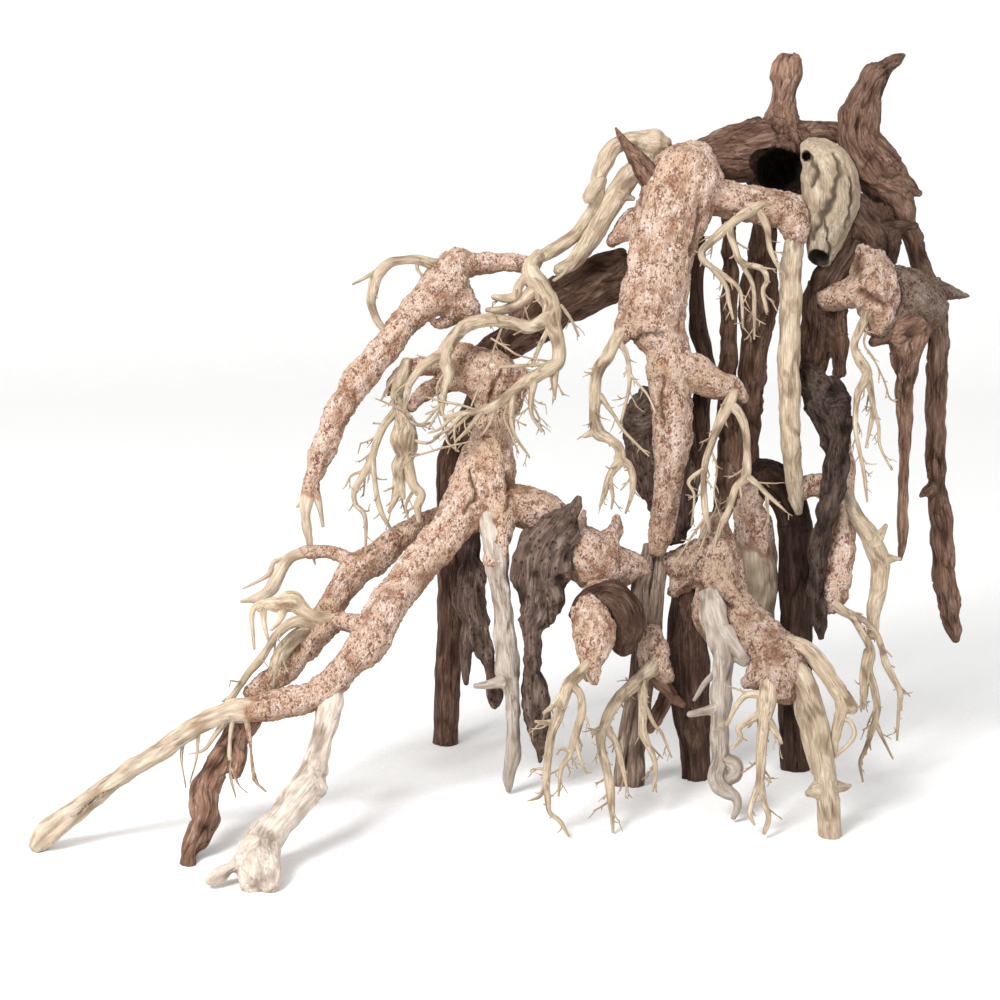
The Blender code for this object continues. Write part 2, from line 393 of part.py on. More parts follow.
# Hanging roots and sprays at the front
PIECES["front_root"] = ("bleached_wood", [
    (LIMB, [(147, -66, -34, 8), (149, -78, -40, 9.6), (153, -92, -46, 9.4), (156, -106, -51, 8.6),
            (156, -121, -55, 7.4), (155, -135, -58, 6.8), (154, -150, -61, 6.6), (154, -166, -64, 6.6),
            (154, -181, -67, 6.4), (152, -194, -70, 7), (157, -203, -72, 5.8), (165, -209, -73, 4),
            (166, -216, -74, 3.2), (163, -223, -75, 1.8)]),
    (LIMB, [(157, -94, -48, 8), (164, -102, -51, 7), (169, -108, -53, 6.6), (173, -113, -54, 5)]),
    (TWIG, [(153, -146, -60, 4.4), (142, -148, -58, 3.4), (133, -150, -56, 2.2)]),
    (TWIG, [(152, -120, -54, 3.2), (144, -128, -51, 2.2), (136, -140, -48, 1.3)]),
    (ROOT, [(156, -182, -67, 5.5), (163, -185, -69, 6), (165, -191, -70, 6), (160, -196, -70, 4.5)]),
])
PIECES["foot_root"] = ("pale_root", [
    (LIMB, [(203, -112, -76, 7), (210, -124, -80, 8), (216, -136, -83, 8), (220, -150, -86, 8),
            (223.5, -165, -88, 7.8), (226, -181, -90, 7.8), (228, -196, -92, 8), (229.5, -211, -94, 8),
            (230.5, -226, -96, 8), (231, -246, -99, 7.6)]),
    (TWIG, [(222, -203, -92, 7), (216, -205, -91, 3)]),
    (TWIG, [(233, -200, -92, 5), (241, -201, -91, 3.4), (245, -200, -90, 1.8)]),
    (ROOT, [(209, -130, -76, 5), (211, -146, -78, 5), (214, -161, -81, 4.5), (217, -176, -84, 3.6),
            (220, -190, -87, 2.6)]),
])
PIECES["green_arm"] = ("pale_root", [
    (ROOT, [(204, -99, -74, 5), (214, -104, -77, 5.6), (222, -112, -80, 5.8), (229, -122, -82, 5.8),
            (235, -131, -84, 5.8), (241, -139, -85, 6), (246, -145, -86, 5)]),
    (ROOT, [(238, -133, -84, 5), (239, -147, -86, 4.2), (236, -160, -87, 3.8), (234, -170, -88, 3),
            (235, -179, -89, 1.5)]),
    (TWIG, [(236, -151, -86, 2.4), (246, -156, -88, 1.8), (247, -167, -89, 1.7), (234, -180, -90, 1.1)]),
])
PIECES["twig_root"] = ("pale_root", [
    (ROOT, [(188, -128, -78, 6), (187, -140, -81, 6.6), (185, -151, -84, 5.6), (184, -164, -87, 4.2),
            (183, -177, -90, 3.6), (182.5, -190, -93, 3.2), (181, -199, -95, 2.8), (177, -210, -97, 2),
            (175, -220, -99, 1.7), (178, -227, -101, 1)]),
    (TWIG, [(182, -196, -94, 3), (185, -212, -98, 2.2), (188, -222, -100, 2.1), (185, -233, -104, 1.5)]),
    (TWIG, [(184, -149, -84, 3.4), (174, -155, -86, 2.6), (167, -160, -88, 2.2), (168, -167, -89, 2),
            (162, -174, -90, 1.2)]),
    (TWIG, [(186, -152, -84, 4), (194, -164, -87, 2.1), (197, -170, -88, 1.1)]),
    (TWIG, [(186, -137, -80, 3.4), (174, -136, -76, 2.6), (166, -143, -75, 2), (159, -157, -75, 1.2)]),
])
PIECES["spray_front_left"] = ("pale_root", [
    (ROOT, [(61, -115, -69, 5), (55, -122, -77, 6), (48, -130, -84, 6.8), (44, -142, -87, 5.6),
            (40, -153, -90, 5), (36, -164, -92, 4.6), (34, -179, -95, 4.3), (32.5, -196, -98, 4),
            (33.5, -211, -100, 3.1), (35, -219, -101, 2.5), (42, -225, -102, 2.3),
            (48, -235, -104.5, 1.2)]),
    (TWIG, [(49, -128, -84, 5), (56, -136, -86, 4.2), (57.5, -147, -88, 4.1), (55, -158, -90, 4.3),
            (52, -168, -92, 4.1), (49, -178, -94, 3.2), (43, -188, -96, 2.6), (41, -207, -98, 1.1)]),
    (TWIG, [(53, -168, -92, 3), (56, -181, -94, 1.9), (61, -191, -95, .9)]),
    (TWIG, [(46, -134, -86, 4.4), (38, -143, -86, 2.9), (31, -149, -85, 1.7)]),
    (TWIG, [(40, -154, -90, 4), (32, -156, -90, 2.9), (25, -155, -89, 1.4)]),
    (TWIG, [(33, -197, -98, 3.4), (28, -207, -100, 2.3), (22, -210, -101, 1.1)]),
    (TWIG, [(34, -190, -97, 2), (27, -188, -97, 1.3), (22, -191, -97, .8)]),
    (TWIG, [(49, -176, -94, 2.6), (43, -174, -95, 1.6), (40, -178, -96, 1)]),
])
PIECES["spray_front_mid"] = ("pale_root", [
    (ROOT, [(108, -112, -20, 6), (104, -120, -29, 7), (94, -129, -37, 6.6), (86, -136, -44, 6.2),
            (78, -147, -53, 5.5), (73, -158, -61, 5), (70.5, -167, -67, 4.9), (72, -178, -73, 4.5),
            (75, -190, -79, 4.3), (77, -202, -84, 4.3), (78, -214, -89, 3.3), (79, -232, -96, 1.5)]),
    (TWIG, [(73, -158, -61, 4.4), (80, -168, -67, 3.2), (84, -180, -72, 2.8), (90, -207, -81, 1)]),
    (TWIG, [(71, -160, -63, 4), (65, -163, -65, 2.2)]),
    (ROOT, [(100, -125, -33, 6), (100, -140, -37, 4.3), (100, -152, -41, 4), (100, -163, -45, 3.8),
            (104, -172, -49, 3.1), (108, -182, -53, 2.7), (109, -192, -57, 2.1), (107, -204, -61, 1.1)]),
    (TWIG, [(100, -142, -38, 3), (108, -157, -41, 2), (113, -163, -43, 1.6), (120, -180, -47, .9)]),
])
PIECES["spray_trunk_left"] = ("pale_root", [
    (ROOT, [(86, 119, -25, 5), (80, 110, -28, 5.2), (76, 101, -30, 5.3), (70, 93, -31, 5.4),
            (67, 83, -32, 4.8), (66.5, 70, -33, 4.6), (66, 57, -33, 4.8), (69, 47, -34, 5.8),
            (76, 43, -35, 4.2), (83, 37, -36, 4.3), (84, 28, -36, 4.3), (80, 22, -37, 3.5),
            (76, 15, -37, 3), (73, 4, -38, 2.4), (70, -4, -38, 1.2)]),
    (TWIG, [(83, 29, -36, 4), (91, 23, -37, 3.2), (93, 13, -37, 2.8), (92, 3, -38, 1.9),
            (88, -9, -38, 1)]),
    (TWIG, [(68, 49, -34, 4.5), (59.5, 45, -34, 2.2)]),
    (TWIG, [(82, 113, -27, 3), (89, 100, -29, 2.3), (90.5, 80, -30, 1.8), (84, 52, -32, 1)]),
    (TWIG, [(70, 73, -33, 2.6), (80, 59, -35, 1.6), (87, 48, -36, 1.3), (104, 31, -44, .8)]),
    (TWIG, [(76, 15, -37, 2.8), (79, 3, -38, 1.6), (78, -6, -38, .9)]),
])
PIECES["spray_bar"] = ("pale_root", [
    (ROOT, [(198, 205, -12, 4.6), (184, 206, -14, 4.3), (171, 200, -16, 3.7), (158, 190, -17, 3.3),
            (147, 180, -18, 3), (141, 173, -19, 2.8), (144, 166, -19, 2.4), (157, 157, -20, 1.8),
            (166, 149, -20, 1.1)]),
    (TWIG, [(160, 191, -17, 3), (164, 178, -19, 2.5), (169, 166, -20, 2.3), (183, 162, -21, 2),
            (187, 154, -21, 1.8), (184, 146, -21, 1.6), (187, 132, -21, 1)]),
    (TWIG, [(147, 164, -19, 2.3), (158, 150, -20, 1.7), (160, 140, -20, 1.5), (163, 127, -20, .9)]),
    (TWIG, [(157, 157, -20, 1.9), (168, 146, -20, 1.5), (170, 121, -20, .8)]),
    (TWIG, [(169, 166, -20, 2), (177, 150, -21, 1.6), (178, 132, -21, 1.3), (178, 113, -21, .8)]),
    (TWIG, [(180, 205, -14, 3.2), (187, 190, -17, 2.5), (189, 176, -18, 2), (196, 160, -22, 1)]),
])
PIECES["spray_trunk_right"] = ("pale_root", [
    (ROOT, [(164, 76, -33, 5), (160, 67, -33, 6), (153, 53, -33, 5.1), (147.5, 38, -33, 4.2),
            (143.5, 25, -33, 3.7), (142.5, 8, -32, 3.6), (144, -9, -30, 3.4), (146, -22, -27, 2.8)]),
    (ROOT, [(161, 67, -33, 5.5), (168, 60, -33, 4.8), (172, 47, -33, 4.3), (173, 31, -33, 4),
            (172, 17, -32, 4.8), (165, 8, -31, 4.1), (161, -4, -30, 3.3), (156, -16, -28, 3),
            (151, -27, -26, 2.4)]),
    (TWIG, [(171, 18, -32, 4), (181, 10, -33, 3.3), (188, 3, -33, 2.6), (200, -8, -33, 1.1)]),
    (TWIG, [(143, 22, -33, 3), (132, 13, -34, 2), (136, 3, -34, 1.5), (134, -18, -33, .9)]),
    (TWIG, [(187, 4, -33, 2), (188, -15, -33, 1)]),
])
PIECES["straight_root"] = ("pale_root", [
    (LIMB, [(208, 192, -4, 6), (204, 165, -7, 7.5), (203.5, 140, -8, 7.6), (202.5, 110, -8, 7.7),
            (202.5, 80, -7, 7.5), (203, 55, -4, 7.2), (204, 34, 0, 6.8), (206, 14, 7, 6),
            (208, -2, 14, 4.5), (209, -9, 18, 2.5)]),
])
PIECES["spike_root"] = ("weathered_wood", [
    (LIMB, [(286, 140, 5, 12), (286, 130, 2, 16), (285, 119, 0, 16), (284.5, 108, 0, 13),
            (284, 96, 0, 9.8), (284, 84, 1, 7.4), (283.5, 68, 3, 5.6), (283.5, 50, 6, 4.6),
            (283, 30, 10, 4.2), (282, 8, 14, 3.9), (281.5, -12, 18, 3.8), (281.5, -29, 21, 3.3),
            (280, -42, 23, 1.4)]),
    (TWIG, [(284, 120, -2, 8), (272, 113, -2, 5), (262, 111, -2, 4)]),
])
PIECES["spray_right"] = ("pale_root", [
    (ROOT, [(257, 130, -11, 5), (252, 120, -12, 5), (248, 108, -13, 3.9), (252, 98, -14, 5.5),
            (257, 88, -15, 5), (251, 76, -15, 3.9), (249, 63, -16, 3), (249, 48, -16, 2.4),
            (252, 33, -16, 2.2), (255, 17, -16, 2), (257, -1, -16, 1.1)]),
    (TWIG, [(257, 88, -15, 4.6), (260, 74, -15, 3.4), (261, 62, -16, 2.8), (259, 50, -16, 2.2),
            (256, 37, -16, 1.1)]),
    (TWIG, [(261, 66, -16, 2.6), (265, 52, -17, 1.9), (266, 38, -17, 1.6), (274, 21, -17, .9)]),
])
PIECES["curved_root"] = ("pale_root", [
    (ROOT, [(240, 6, 8, 6), (247, -8, 6, 5.8), (254, -18, 4, 6), (260, -28, 3, 6.6), (265, -40, 2, 7),
            (266, -54, 1, 6.2), (264, -67, 0, 5.8), (261.5, -80, 0, 4.8), (261, -94, -1, 3.6)]),
    (TWIG, [(262, -30, 2, 5), (266, -25, 1, 3.4), (270, -18, 0, 1.6)]),
    (TWIG, [(268, -41, 1, 5), (274, -41, 0, 3), (280, -41, 0, 1)]),
])
PIECES["spray_far_right"] = ("pale_root", [
    (ROOT, [(231, -70, 0, 5), (239, -77, -2, 5), (247, -82, -3, 4.3), (252, -90, -4, 3.9),
            (257, -99, -4, 4), (260, -108, -4, 4), (258, -119, -4, 4.1), (262, -132, -4, 4),
            (264, -146, -4, 3.9), (261, -160, -4, 3.1), (256, -174, -4, 2.6), (252, -184, -4, 1.9),
            (254, -197, -4, 1)]),
    (ROOT, [(245, -79, -3, 3.6), (256, -85, -5, 3.3), (263, -93, -6, 3.3), (267, -103, -6, 3.3),
            (270, -114, -6, 3.6), (275, -124, -6, 3.4), (280, -135, -6, 3), (279, -149, -6, 2),
            (278, -168, -5, 1.1)]),
    (ROOT, [(257, -106, -4, 4), (255, -120, -2, 4.6), (255, -133, 0, 4.2), (254, -145, 1, 2.6)]),
    (TWIG, [(263, -156, -4, 3), (267, -165, -4, 2), (275, -181, -4, .9)]),
])


def place(across, up, back):
    """The real place, in millimetres, of a point given on the drawing plane."""
    tilt = math.radians(SIGHT_TILT)
    forward = Vector((0.0, math.cos(tilt), -math.sin(tilt)))
    upward = Vector((0.0, math.sin(tilt), math.cos(tilt)))
    plane_centre = Vector((0.0, 0.0, PLANE_CENTRE_HEIGHT))
    eye = plane_centre - forward * PLANE_DISTANCE
    scale = (PLANE_DISTANCE + back) / PLANE_DISTANCE
    ray = forward * PLANE_DISTANCE + Vector((1.0, 0.0, 0.0)) * across + upward * up
    shift = Vector((MIDDLE_ACROSS, MIDDLE_BACK, 0.0))
    return eye + ray * scale - shift, scale


def catmull_rom(before, start, end, after, share):
    """A point on the smooth curve from start to end, share of the way along."""
    square = share * share
    cube = square * share
    return 0.5 * (2.0 * start + (end - before) * share
                  + (2.0 * before - 5.0 * start + 4.0 * end - after) * square
                  + (3.0 * start - before - 3.0 * end + after) * cube)


def smooth_route(points):
    """Close samples (x, y, z, radius) of a smooth curve through a route's points."""
    knots = []
    for across, up, back, radius in points:
        spot, scale = place(across, up, back)
        knots.append(np.array([spot.x, spot.y, spot.z, radius * scale]))
    knots = [2 * knots[0] - knots[1]] + knots + [2 * knots[-1] - knots[-2]]
    samples = []
    for index in range(1, len(knots) - 2):
        for step in range(SAMPLES_PER_SPAN):
            samples.append(catmull_rom(*knots[index - 1:index + 3], step / SAMPLES_PER_SPAN))
    samples.append(knots[-2])
    thinnest = 0.5 * min(point[3] for point in points)
    for sample in samples:
        sample[3] = max(sample[3], thinnest)
    return samples


def ring_centres(points, spacing):
    """Centres and radii of a loft's rings, so many radii apart along a route."""
    samples = smooth_route(points)
    rings = [samples[0]]
    travelled = 0.0
    for before, sample in zip(samples, samples[1:]):
        travelled += float(np.linalg.norm(sample[:3] - before[:3]))
        if travelled >= spacing * sample[3]:
            rings.append(sample)
            travelled = 0.0
    if travelled < 0.5 * spacing * samples[-1][3] and len(rings) > 2:
        rings.pop()
    rings.append(samples[-1])
    return [(Vector(ring[:3]), float(ring[3])) for ring in rings]


def loft_mesh(run, fineness, swell=0.0):
    """A closed loft along a run, with flat ends. swell widens it, for use as a cutter."""
    sides, points = run[0], run[1]
    depth_share = run[2] if len(run) > 2 else 1.0
    rings = ring_centres(points, RING_SPACING[sides])
    centres = [centre for centre, radius in rings]
    if swell:
        centres[0] = centres[0] + (centres[0] - centres[1]).normalized() * CUTTER_OVERSHOOT
        centres[-1] = centres[-1] + (centres[-1] - centres[-2]).normalized() * CUTTER_OVERSHOOT
    shape = bmesh.new()
    sideways = Vector((1.0, 0.0, 0.0))
    loops = []
    for index, (centre, (_, radius)) in enumerate(zip(centres, rings)):
        ahead = centres[min(index + 1, len(centres) - 1)]
        behind = centres[max(index - 1, 0)]
        tangent = (ahead - behind).normalized()
        sideways = (sideways - tangent * sideways.dot(tangent)).normalized()
        depthways = tangent.cross(sideways)
        loop = []
        for side in range(sides):
            turn = 2.0 * math.pi * side / sides
            knob = 1.0 + (0.07 * math.sin(3.0 * turn + 0.9 * index) if sides == LIMB else 0.0)
            out = radius * fineness * knob + swell
            deep = radius * fineness * knob * depth_share + swell
            offset = sideways * (out * math.cos(turn)) + depthways * (deep * math.sin(turn))
            loop.append(shape.verts.new((centre + offset) * MM))
        loops.append(loop)
    for low, high in zip(loops, loops[1:]):
        for side in range(sides):
            following = (side + 1) % sides
            shape.faces.new((low[side], low[following], high[following], high[side]))
    shape.faces.new(list(reversed(loops[0])))
    shape.faces.new(loops[-1])
    bmesh.ops.triangulate(shape, faces=shape.faces[:])
    bmesh.ops.recalc_face_normals(shape, faces=shape.faces[:])
    mesh = bpy.data.meshes.new("loft")
    shape.to_mesh(mesh)
    shape.free()
    return mesh


def new_object(name, mesh, collection):
    """An object for a mesh, linked to a collection."""
    item = bpy.data.objects.new(name, mesh)
    collection.objects.link(item)
    return item


def bounds_of(item):
    """Lowest and highest corners of an object's mesh."""
    corners = np.array([vertex.co[:] for vertex in item.data.vertices])
    return corners.min(axis=0), corners.max(axis=0)


def boxes_meet(one, other):
    """True where two lowest-and-highest pairs overlap."""
    return bool(np.all(one[0] <= other[1]) and np.all(other[0] <= one[1]))


def is_closed(mesh):
    """True where every edge has exactly two faces, once near points are welded."""
    shape = bmesh.new()
    shape.from_mesh(mesh)
    weld(shape)
    closed = all(len(edge.link_faces) == 2 for edge in shape.edges)
    shape.free()
    return closed


def weld(shape):
    """Weld points that lie on each other, and drop the faces that this flattens."""
    bmesh.ops.remove_doubles(shape, verts=shape.verts[:], dist=WELD_DISTANCE * MM)
    bmesh.ops.dissolve_degenerate(shape, edges=shape.edges[:], dist=WELD_DISTANCE * MM)


def apply_boolean(item, operands, operation):
    """Join or cut an object by a list of others, and take the result as its mesh."""
    group = bpy.data.collections.new("operands")
    bpy.context.scene.collection.children.link(group)
    for operand in operands:
        group.objects.link(operand)
    modifier = item.modifiers.new("boolean", "BOOLEAN")
    modifier.operand_type = "COLLECTION"
    modifier.collection = group
    modifier.operation = operation
    for solver in ("EXACT", "MANIFOLD"):
        modifier.solver = solver
        depsgraph = bpy.context.evaluated_depsgraph_get()
        result = bpy.data.meshes.new_from_object(item.evaluated_get(depsgraph))
        if is_closed(result):
            break
    item.modifiers.clear()
    old = item.data
    item.data = result
    bpy.data.meshes.remove(old)
    for operand in operands:
        group.objects.unlink(operand)
    bpy.data.collections.remove(group)


def islands(shape):
    """The separate bodies of a mesh, as lists of faces that share edges."""
    waiting = set(shape.faces)
    found = []
    while waiting:
        first = waiting.pop()
        body, front = [first], [first]
        while front:
            face = front.pop()
            for edge in face.edges:
                for other in edge.link_faces:
                    if other in waiting:
                        waiting.remove(other)
                        body.append(other)
                        front.append(other)
        found.append(body)
    return found


def keep_main_body(item):
    """Drop the scraps that a cut leaves, and weld points that lie on each other."""
    shape = bmesh.new()
    shape.from_mesh(item.data)
    weld(shape)
    bodies = sorted(islands(shape), key=len)
    for scrap in bodies[:-1]:
        bmesh.ops.delete(shape, geom=scrap, context="FACES")
    bmesh.ops.triangulate(shape, faces=shape.faces[:])
    shape.to_mesh(item.data)
    shape.free()


def cut_at_floor(item):
    """Cut a piece flat where it stands on the floor."""
    shape = bmesh.new()
    shape.from_mesh(item.data)
    lowest = min(vertex.co.z for vertex in shape.verts)
    if lowest < FLOOR:
        cut = bmesh.ops.bisect_plane(shape, geom=shape.verts[:] + shape.edges[:] + shape.faces[:], dist=1e-7,
                                     plane_co=(0.0, 0.0, FLOOR), plane_no=(0.0, 0.0, 1.0), clear_inner=True)
        rim = [edge for edge in cut["geom_cut"] if isinstance(edge, bmesh.types.BMEdge)]
        filled = bmesh.ops.holes_fill(shape, edges=rim, sides=0)
        bmesh.ops.triangulate(shape, faces=filled["faces"])
    shape.to_mesh(item.data)
    shape.free()


def make_material(name, colour, roughness):
    """A plain material with a piece's colour and roughness."""
    material = bpy.data.materials.new(name)
    material.use_nodes = True
    shader = material.node_tree.nodes["Principled BSDF"]
    shader.inputs["Base Color"].default_value = (*colour, 1.0)
    shader.inputs["Roughness"].default_value = roughness
    shader.inputs["Metallic"].default_value = 0.0
    return material


def finish_piece(item, material_name):
    """Give a piece its own material and smooth shading."""
    colour, roughness = MATERIALS[material_name]
    item.data.materials.clear()
    item.data.materials.append(make_material(item.name + "_" + material_name, colour, roughness))
    item.data.shade_smooth()
    item.data.set_sharp_from_angle(angle=math.radians(50.0))


def remove_all():
    """Start from an empty scene."""
    for item in list(bpy.data.objects):
        bpy.data.objects.remove(item, do_unlink=True)


def build():
    """Model every piece, cut each to fit those before it, and stand the feet on the floor."""
    remove_all()
    root = bpy.data.collections.new("aquarium_root")
    bpy.context.scene.collection.children.link(root)
    earlier = []
    for name, (material_name, runs, *hollows) in PIECES.items():
        fineness = FINENESS.get(name, 1.0)
        lofts = [new_object(name, loft_mesh(run, fineness), root) for run in runs]
        piece, others = lofts[0], lofts[1:]
        piece.name = name
        if others:
            apply_boolean(piece, others, "UNION")
            for other in others:
                bpy.data.objects.remove(other, do_unlink=True)
        for run in hollows[0] if hollows else []:
            hollow = bpy.data.objects.new("hollow", loft_mesh(run, 1.0))
            apply_boolean(piece, [hollow], "DIFFERENCE")
            bpy.data.objects.remove(hollow)
        box = bounds_of(piece)
        cutters = [cutter for cutter, cutter_box in earlier if boxes_meet(box, cutter_box)]
        if cutters:
            apply_boolean(piece, cutters, "DIFFERENCE")
        keep_main_body(piece)
        cut_at_floor(piece)
        finish_piece(piece, material_name)
        for run in runs:
            cutter = bpy.data.objects.new("cutter", loft_mesh(run, fineness, TOUCH_GAP))
            earlier.append((cutter, bounds_of(cutter)))
    for cutter, _ in earlier:
        mesh = cutter.data
        bpy.data.objects.remove(cutter)
        bpy.data.meshes.remove(mesh)


build()
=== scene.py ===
"""The dressed aquarium root: grit-coated limbs, dark stakes, driftwood and pale rootlets.

Each piece follows the same routes as its solid. A route's points are written in millimetres
on a drawing plane in front of the root: (across, up, back, radius). place() carries them from
the plane to their real places. Every piece is lofted along its routes, thick ones are fused
into one skin, and then the surface is raised and lowered in relief that suits its wood.
"""

import math
import random

import bmesh
import bpy
import numpy as np
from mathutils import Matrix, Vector, noise
from mathutils.kdtree import KDTree

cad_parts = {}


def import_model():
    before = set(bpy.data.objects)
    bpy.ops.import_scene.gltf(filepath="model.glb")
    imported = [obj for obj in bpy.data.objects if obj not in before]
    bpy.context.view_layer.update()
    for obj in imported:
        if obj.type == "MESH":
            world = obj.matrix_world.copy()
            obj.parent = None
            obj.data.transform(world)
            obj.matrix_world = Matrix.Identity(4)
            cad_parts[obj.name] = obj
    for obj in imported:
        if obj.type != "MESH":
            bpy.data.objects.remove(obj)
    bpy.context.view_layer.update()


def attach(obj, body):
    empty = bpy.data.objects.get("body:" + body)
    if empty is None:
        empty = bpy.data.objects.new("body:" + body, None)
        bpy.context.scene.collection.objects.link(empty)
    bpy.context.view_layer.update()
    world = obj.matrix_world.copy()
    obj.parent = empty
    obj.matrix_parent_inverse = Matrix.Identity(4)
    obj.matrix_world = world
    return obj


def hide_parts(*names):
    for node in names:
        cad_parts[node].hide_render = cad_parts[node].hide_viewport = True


# The sight line that the drawing plane is laid on, in millimetres and degrees
PLANE_DISTANCE = 1400.0
PLANE_CENTRE_HEIGHT = 195.8
SIGHT_TILT = 11.0

# The origin is under the middle of the whole root, on the floor
MIDDLE_ACROSS = 18.1
MIDDLE_BACK = -70.4

MM = 0.001
SEED = 20

# Kinds of run: limbs and posts, roots, and thin twigs
LIMB = "limb"
ROOT = "root"
TWIG = "twig"

# Each piece: its material, its runs and, where it has any, the runs that hollow it out.
# A run is its kind and its points, and a third value, where given, flattens it from front
# to back.
PIECES = {}

# Posts and stakes that carry the root
PIECES["post_left"] = ("dark_hardwood", [
    (LIMB, [(-12, 80, 28, 8), (-17, 66, 36, 8), (-24, 52, 44, 8), (-32, 36, 52, 8.5), (-36, 15, 58, 8.8),
            (-35, -20, 66, 9), (-33.5, -55, 72, 10), (-34, -85, 78, 10), (-36, -110, 83, 9.5),
            (-37.5, -140, 88, 8.8), (-38, -178, 95, 8.8)]),
])
PIECES["stake_right"] = ("dark_hardwood", [
    (LIMB, [(112, -38, -8, 5), (110, -60, -8, 6), (108, -85, -7, 6), (106, -103, -6, 6),
            (101, -130, -3, 6), (97, -160, -1, 6.5), (95, -185, 0, 6.8), (94, -208, 1, 7)]),
])
PIECES["stake_left"] = ("dark_hardwood", [
    (LIMB, [(104, -32, -12, 4), (101, -50, -12, 5.5), (98, -65, -11, 6.5), (99, -85, -9, 5.5),
            (97, -103, -7, 5), (94, -130, -5, 4.8), (89, -155, -3, 4.5), (85, -180, -1, 4),
            (83, -208, 0, 4)]),
])
PIECES["post_mid"] = ("dark_hardwood", [
    (LIMB, [(132, -60, 4, 11), (131, -90, 7, 13.5), (132, -115, 9, 14.5), (133, -135, 10, 14.5),
            (134, -152, 11, 13.5), (136, -170, 13, 10.5), (137, -190, 15, 9.3), (137, -208, 17, 9)]),
])
PIECES["post_right"] = ("dark_hardwood", [
    (LIMB, [(204, 6, 34, 10), (207, -18, 34, 12), (208, -45, 34, 12.5), (208, -75, 34, 12),
            (207, -105, 34, 11.5), (206, -135, 35, 11), (206, -165, 36, 11), (206.5, -198, 38, 11)]),
    (LIMB, [(208, -20, 34, 10), (200, 2, 34, 12), (190, 15, 34, 13), (178, 22, 34, 8)]),
])
PIECES["log_back"] = ("wood_grit", [
    (LIMB, [(183, 12, 39, 8), (174, -2, 43, 10), (177, -20, 45, 14), (179, -40, 46, 15),
            (180, -62, 46, 15), (179, -82, 46, 13)]),
])

# Bodies of wood grit over the limbs
PIECES["trunk_limb"] = ("wood_grit", [
    (LIMB, [(139, 243, 4, 13), (135, 236, 2, 21.5), (131, 227, -1, 26.5), (124.5, 212, -4, 27),
            (120, 198, -6, 26), (115.5, 183, -9, 24.5), (112, 168, -12, 22.5), (110, 152, -15, 23),
            (107, 136, -18, 24.5), (111, 121, -20, 20.5), (117, 106, -22, 16.5), (119, 90, -24, 15.5),
            (120, 72, -26, 14.5), (120.5, 52, -27, 13.8), (120, 36, -27, 12.6), (118.5, 18, -26, 11),
            (116.5, 0, -24, 9.8), (113, -20, -21, 9), (109.5, -37, -17, 6)]),
    (ROOT, [(110, 194, -4, 13), (96, 196, -2, 10), (86, 188, 2, 8), (78, 181, 6, 5)]),
    (ROOT, [(98, 132, -18, 13), (90, 122, -20, 10), (84, 114, -22, 7)]),
    (LIMB, [(120, 92, -24, 13), (134, 89, -24, 13.5), (146, 84, -25, 11.5), (157, 80, -26, 9.5),
            (166, 76, -27, 7), (172, 70, -27, 4)]),
])
PIECES["long_limb"] = ("wood_grit", [
    (LIMB, [(-3, 62, 16, 14), (-5, 46, 10, 14.5), (-8, 32, 4, 18), (-10, 18, -2, 21.5), (-15, 3, -9, 23),
            (-29, -13, -20, 16), (-45, -33, -32, 14.5), (-60, -50, -42, 14), (-74, -68, -52, 13.5),
            (-85, -86, -60, 14.5), (-93, -101, -67, 14), (-105, -113, -73, 11.5), (-116, -126, -79, 11),
            (-130, -137, -85, 10.5), (-146, -141, -90, 10.5), (-162, -144, -94, 10), (-179, -147, -98, 9),
            (-196, -151, -101, 8), (-212, -158, -104, 7.8), (-226, -167, -107, 7.6),
            (-244, -180, -111, 7), (-262, -191, -114, 7.2), (-280, -204, -117, 7.2),
            (-296, -217, -120, 8), (-310, -227, -122, 9), (-320, -236, -123.5, 9),
            (-325, -244, -125, 6)]),
    (LIMB, [(3, 60, 18, 12), (0, 72, 17, 17), (-5, 84, 16, 19.5), (-11, 94, 16, 15), (-15, 102, 16, 9)]),
    (LIMB, [(-8, 90, 15, 16), (-20, 98, 13, 12), (-29, 104, 11, 8), (-35, 107, 9, 4)]),
    (LIMB, [(6, 80, 14, 14), (15, 84, 10, 9.5), (23, 86, 6, 4)]),
    (ROOT, [(-18, 92, 12, 12), (-32, 93, 9, 8.5), (-46, 94, 4, 6.5), (-60, 92.5, 0, 6),
            (-71, 89, -2, 4.5)]),
    (ROOT, [(-16, 84, 10, 12), (-32, 84, 6, 8), (-45, 79, 2, 6.5), (-55, 73, 0, 6), (-62, 65, -2, 4.5)]),
    (ROOT, [(-70, 89, -2, 5), (-76, 82, -3, 4), (-78, 74, -3, 2.4)]),
    (LIMB, [(0, 0, -15, 14), (-1, -15, -19, 12), (-2, -30, -22, 10), (-2, -44, -23, 8.8)]),
    (ROOT, [(-89, -90, -60, 11), (-101, -86, -53, 8), (-112, -84, -45, 6.5), (-121, -84, -39, 5)]),
    (TWIG, [(-220, -163, -105, 2.6), (-223, -180, -107, 1.7), (-220, -201, -108, 1.1)]),
    (TWIG, [(-211, -158, -104, 2.6), (-212, -178, -105, 1.7), (-217, -198, -106, 1.1)]),
    (TWIG, [(-190, -153, -101, 3.4), (-200, -165, -103, 2.6), (-207, -175, -104, 2),
            (-218, -178, -106, 1.1)]),
    (TWIG, [(-187, -152, -102, 2.8), (-189, -168, -105, 2), (-189, -191, -107, 1.7),
            (-185, -208, -108, 1)]),
    (TWIG, [(-188, -188, -107, 1.6), (-183, -199, -107, 1.2), (-177, -205, -107, .8)]),
    (TWIG, [(-178, -152, -100, 2.6), (-175, -170, -101, 1.8), (-172, -194, -102, 1.5),
            (-164, -204, -103, .9)]),
])
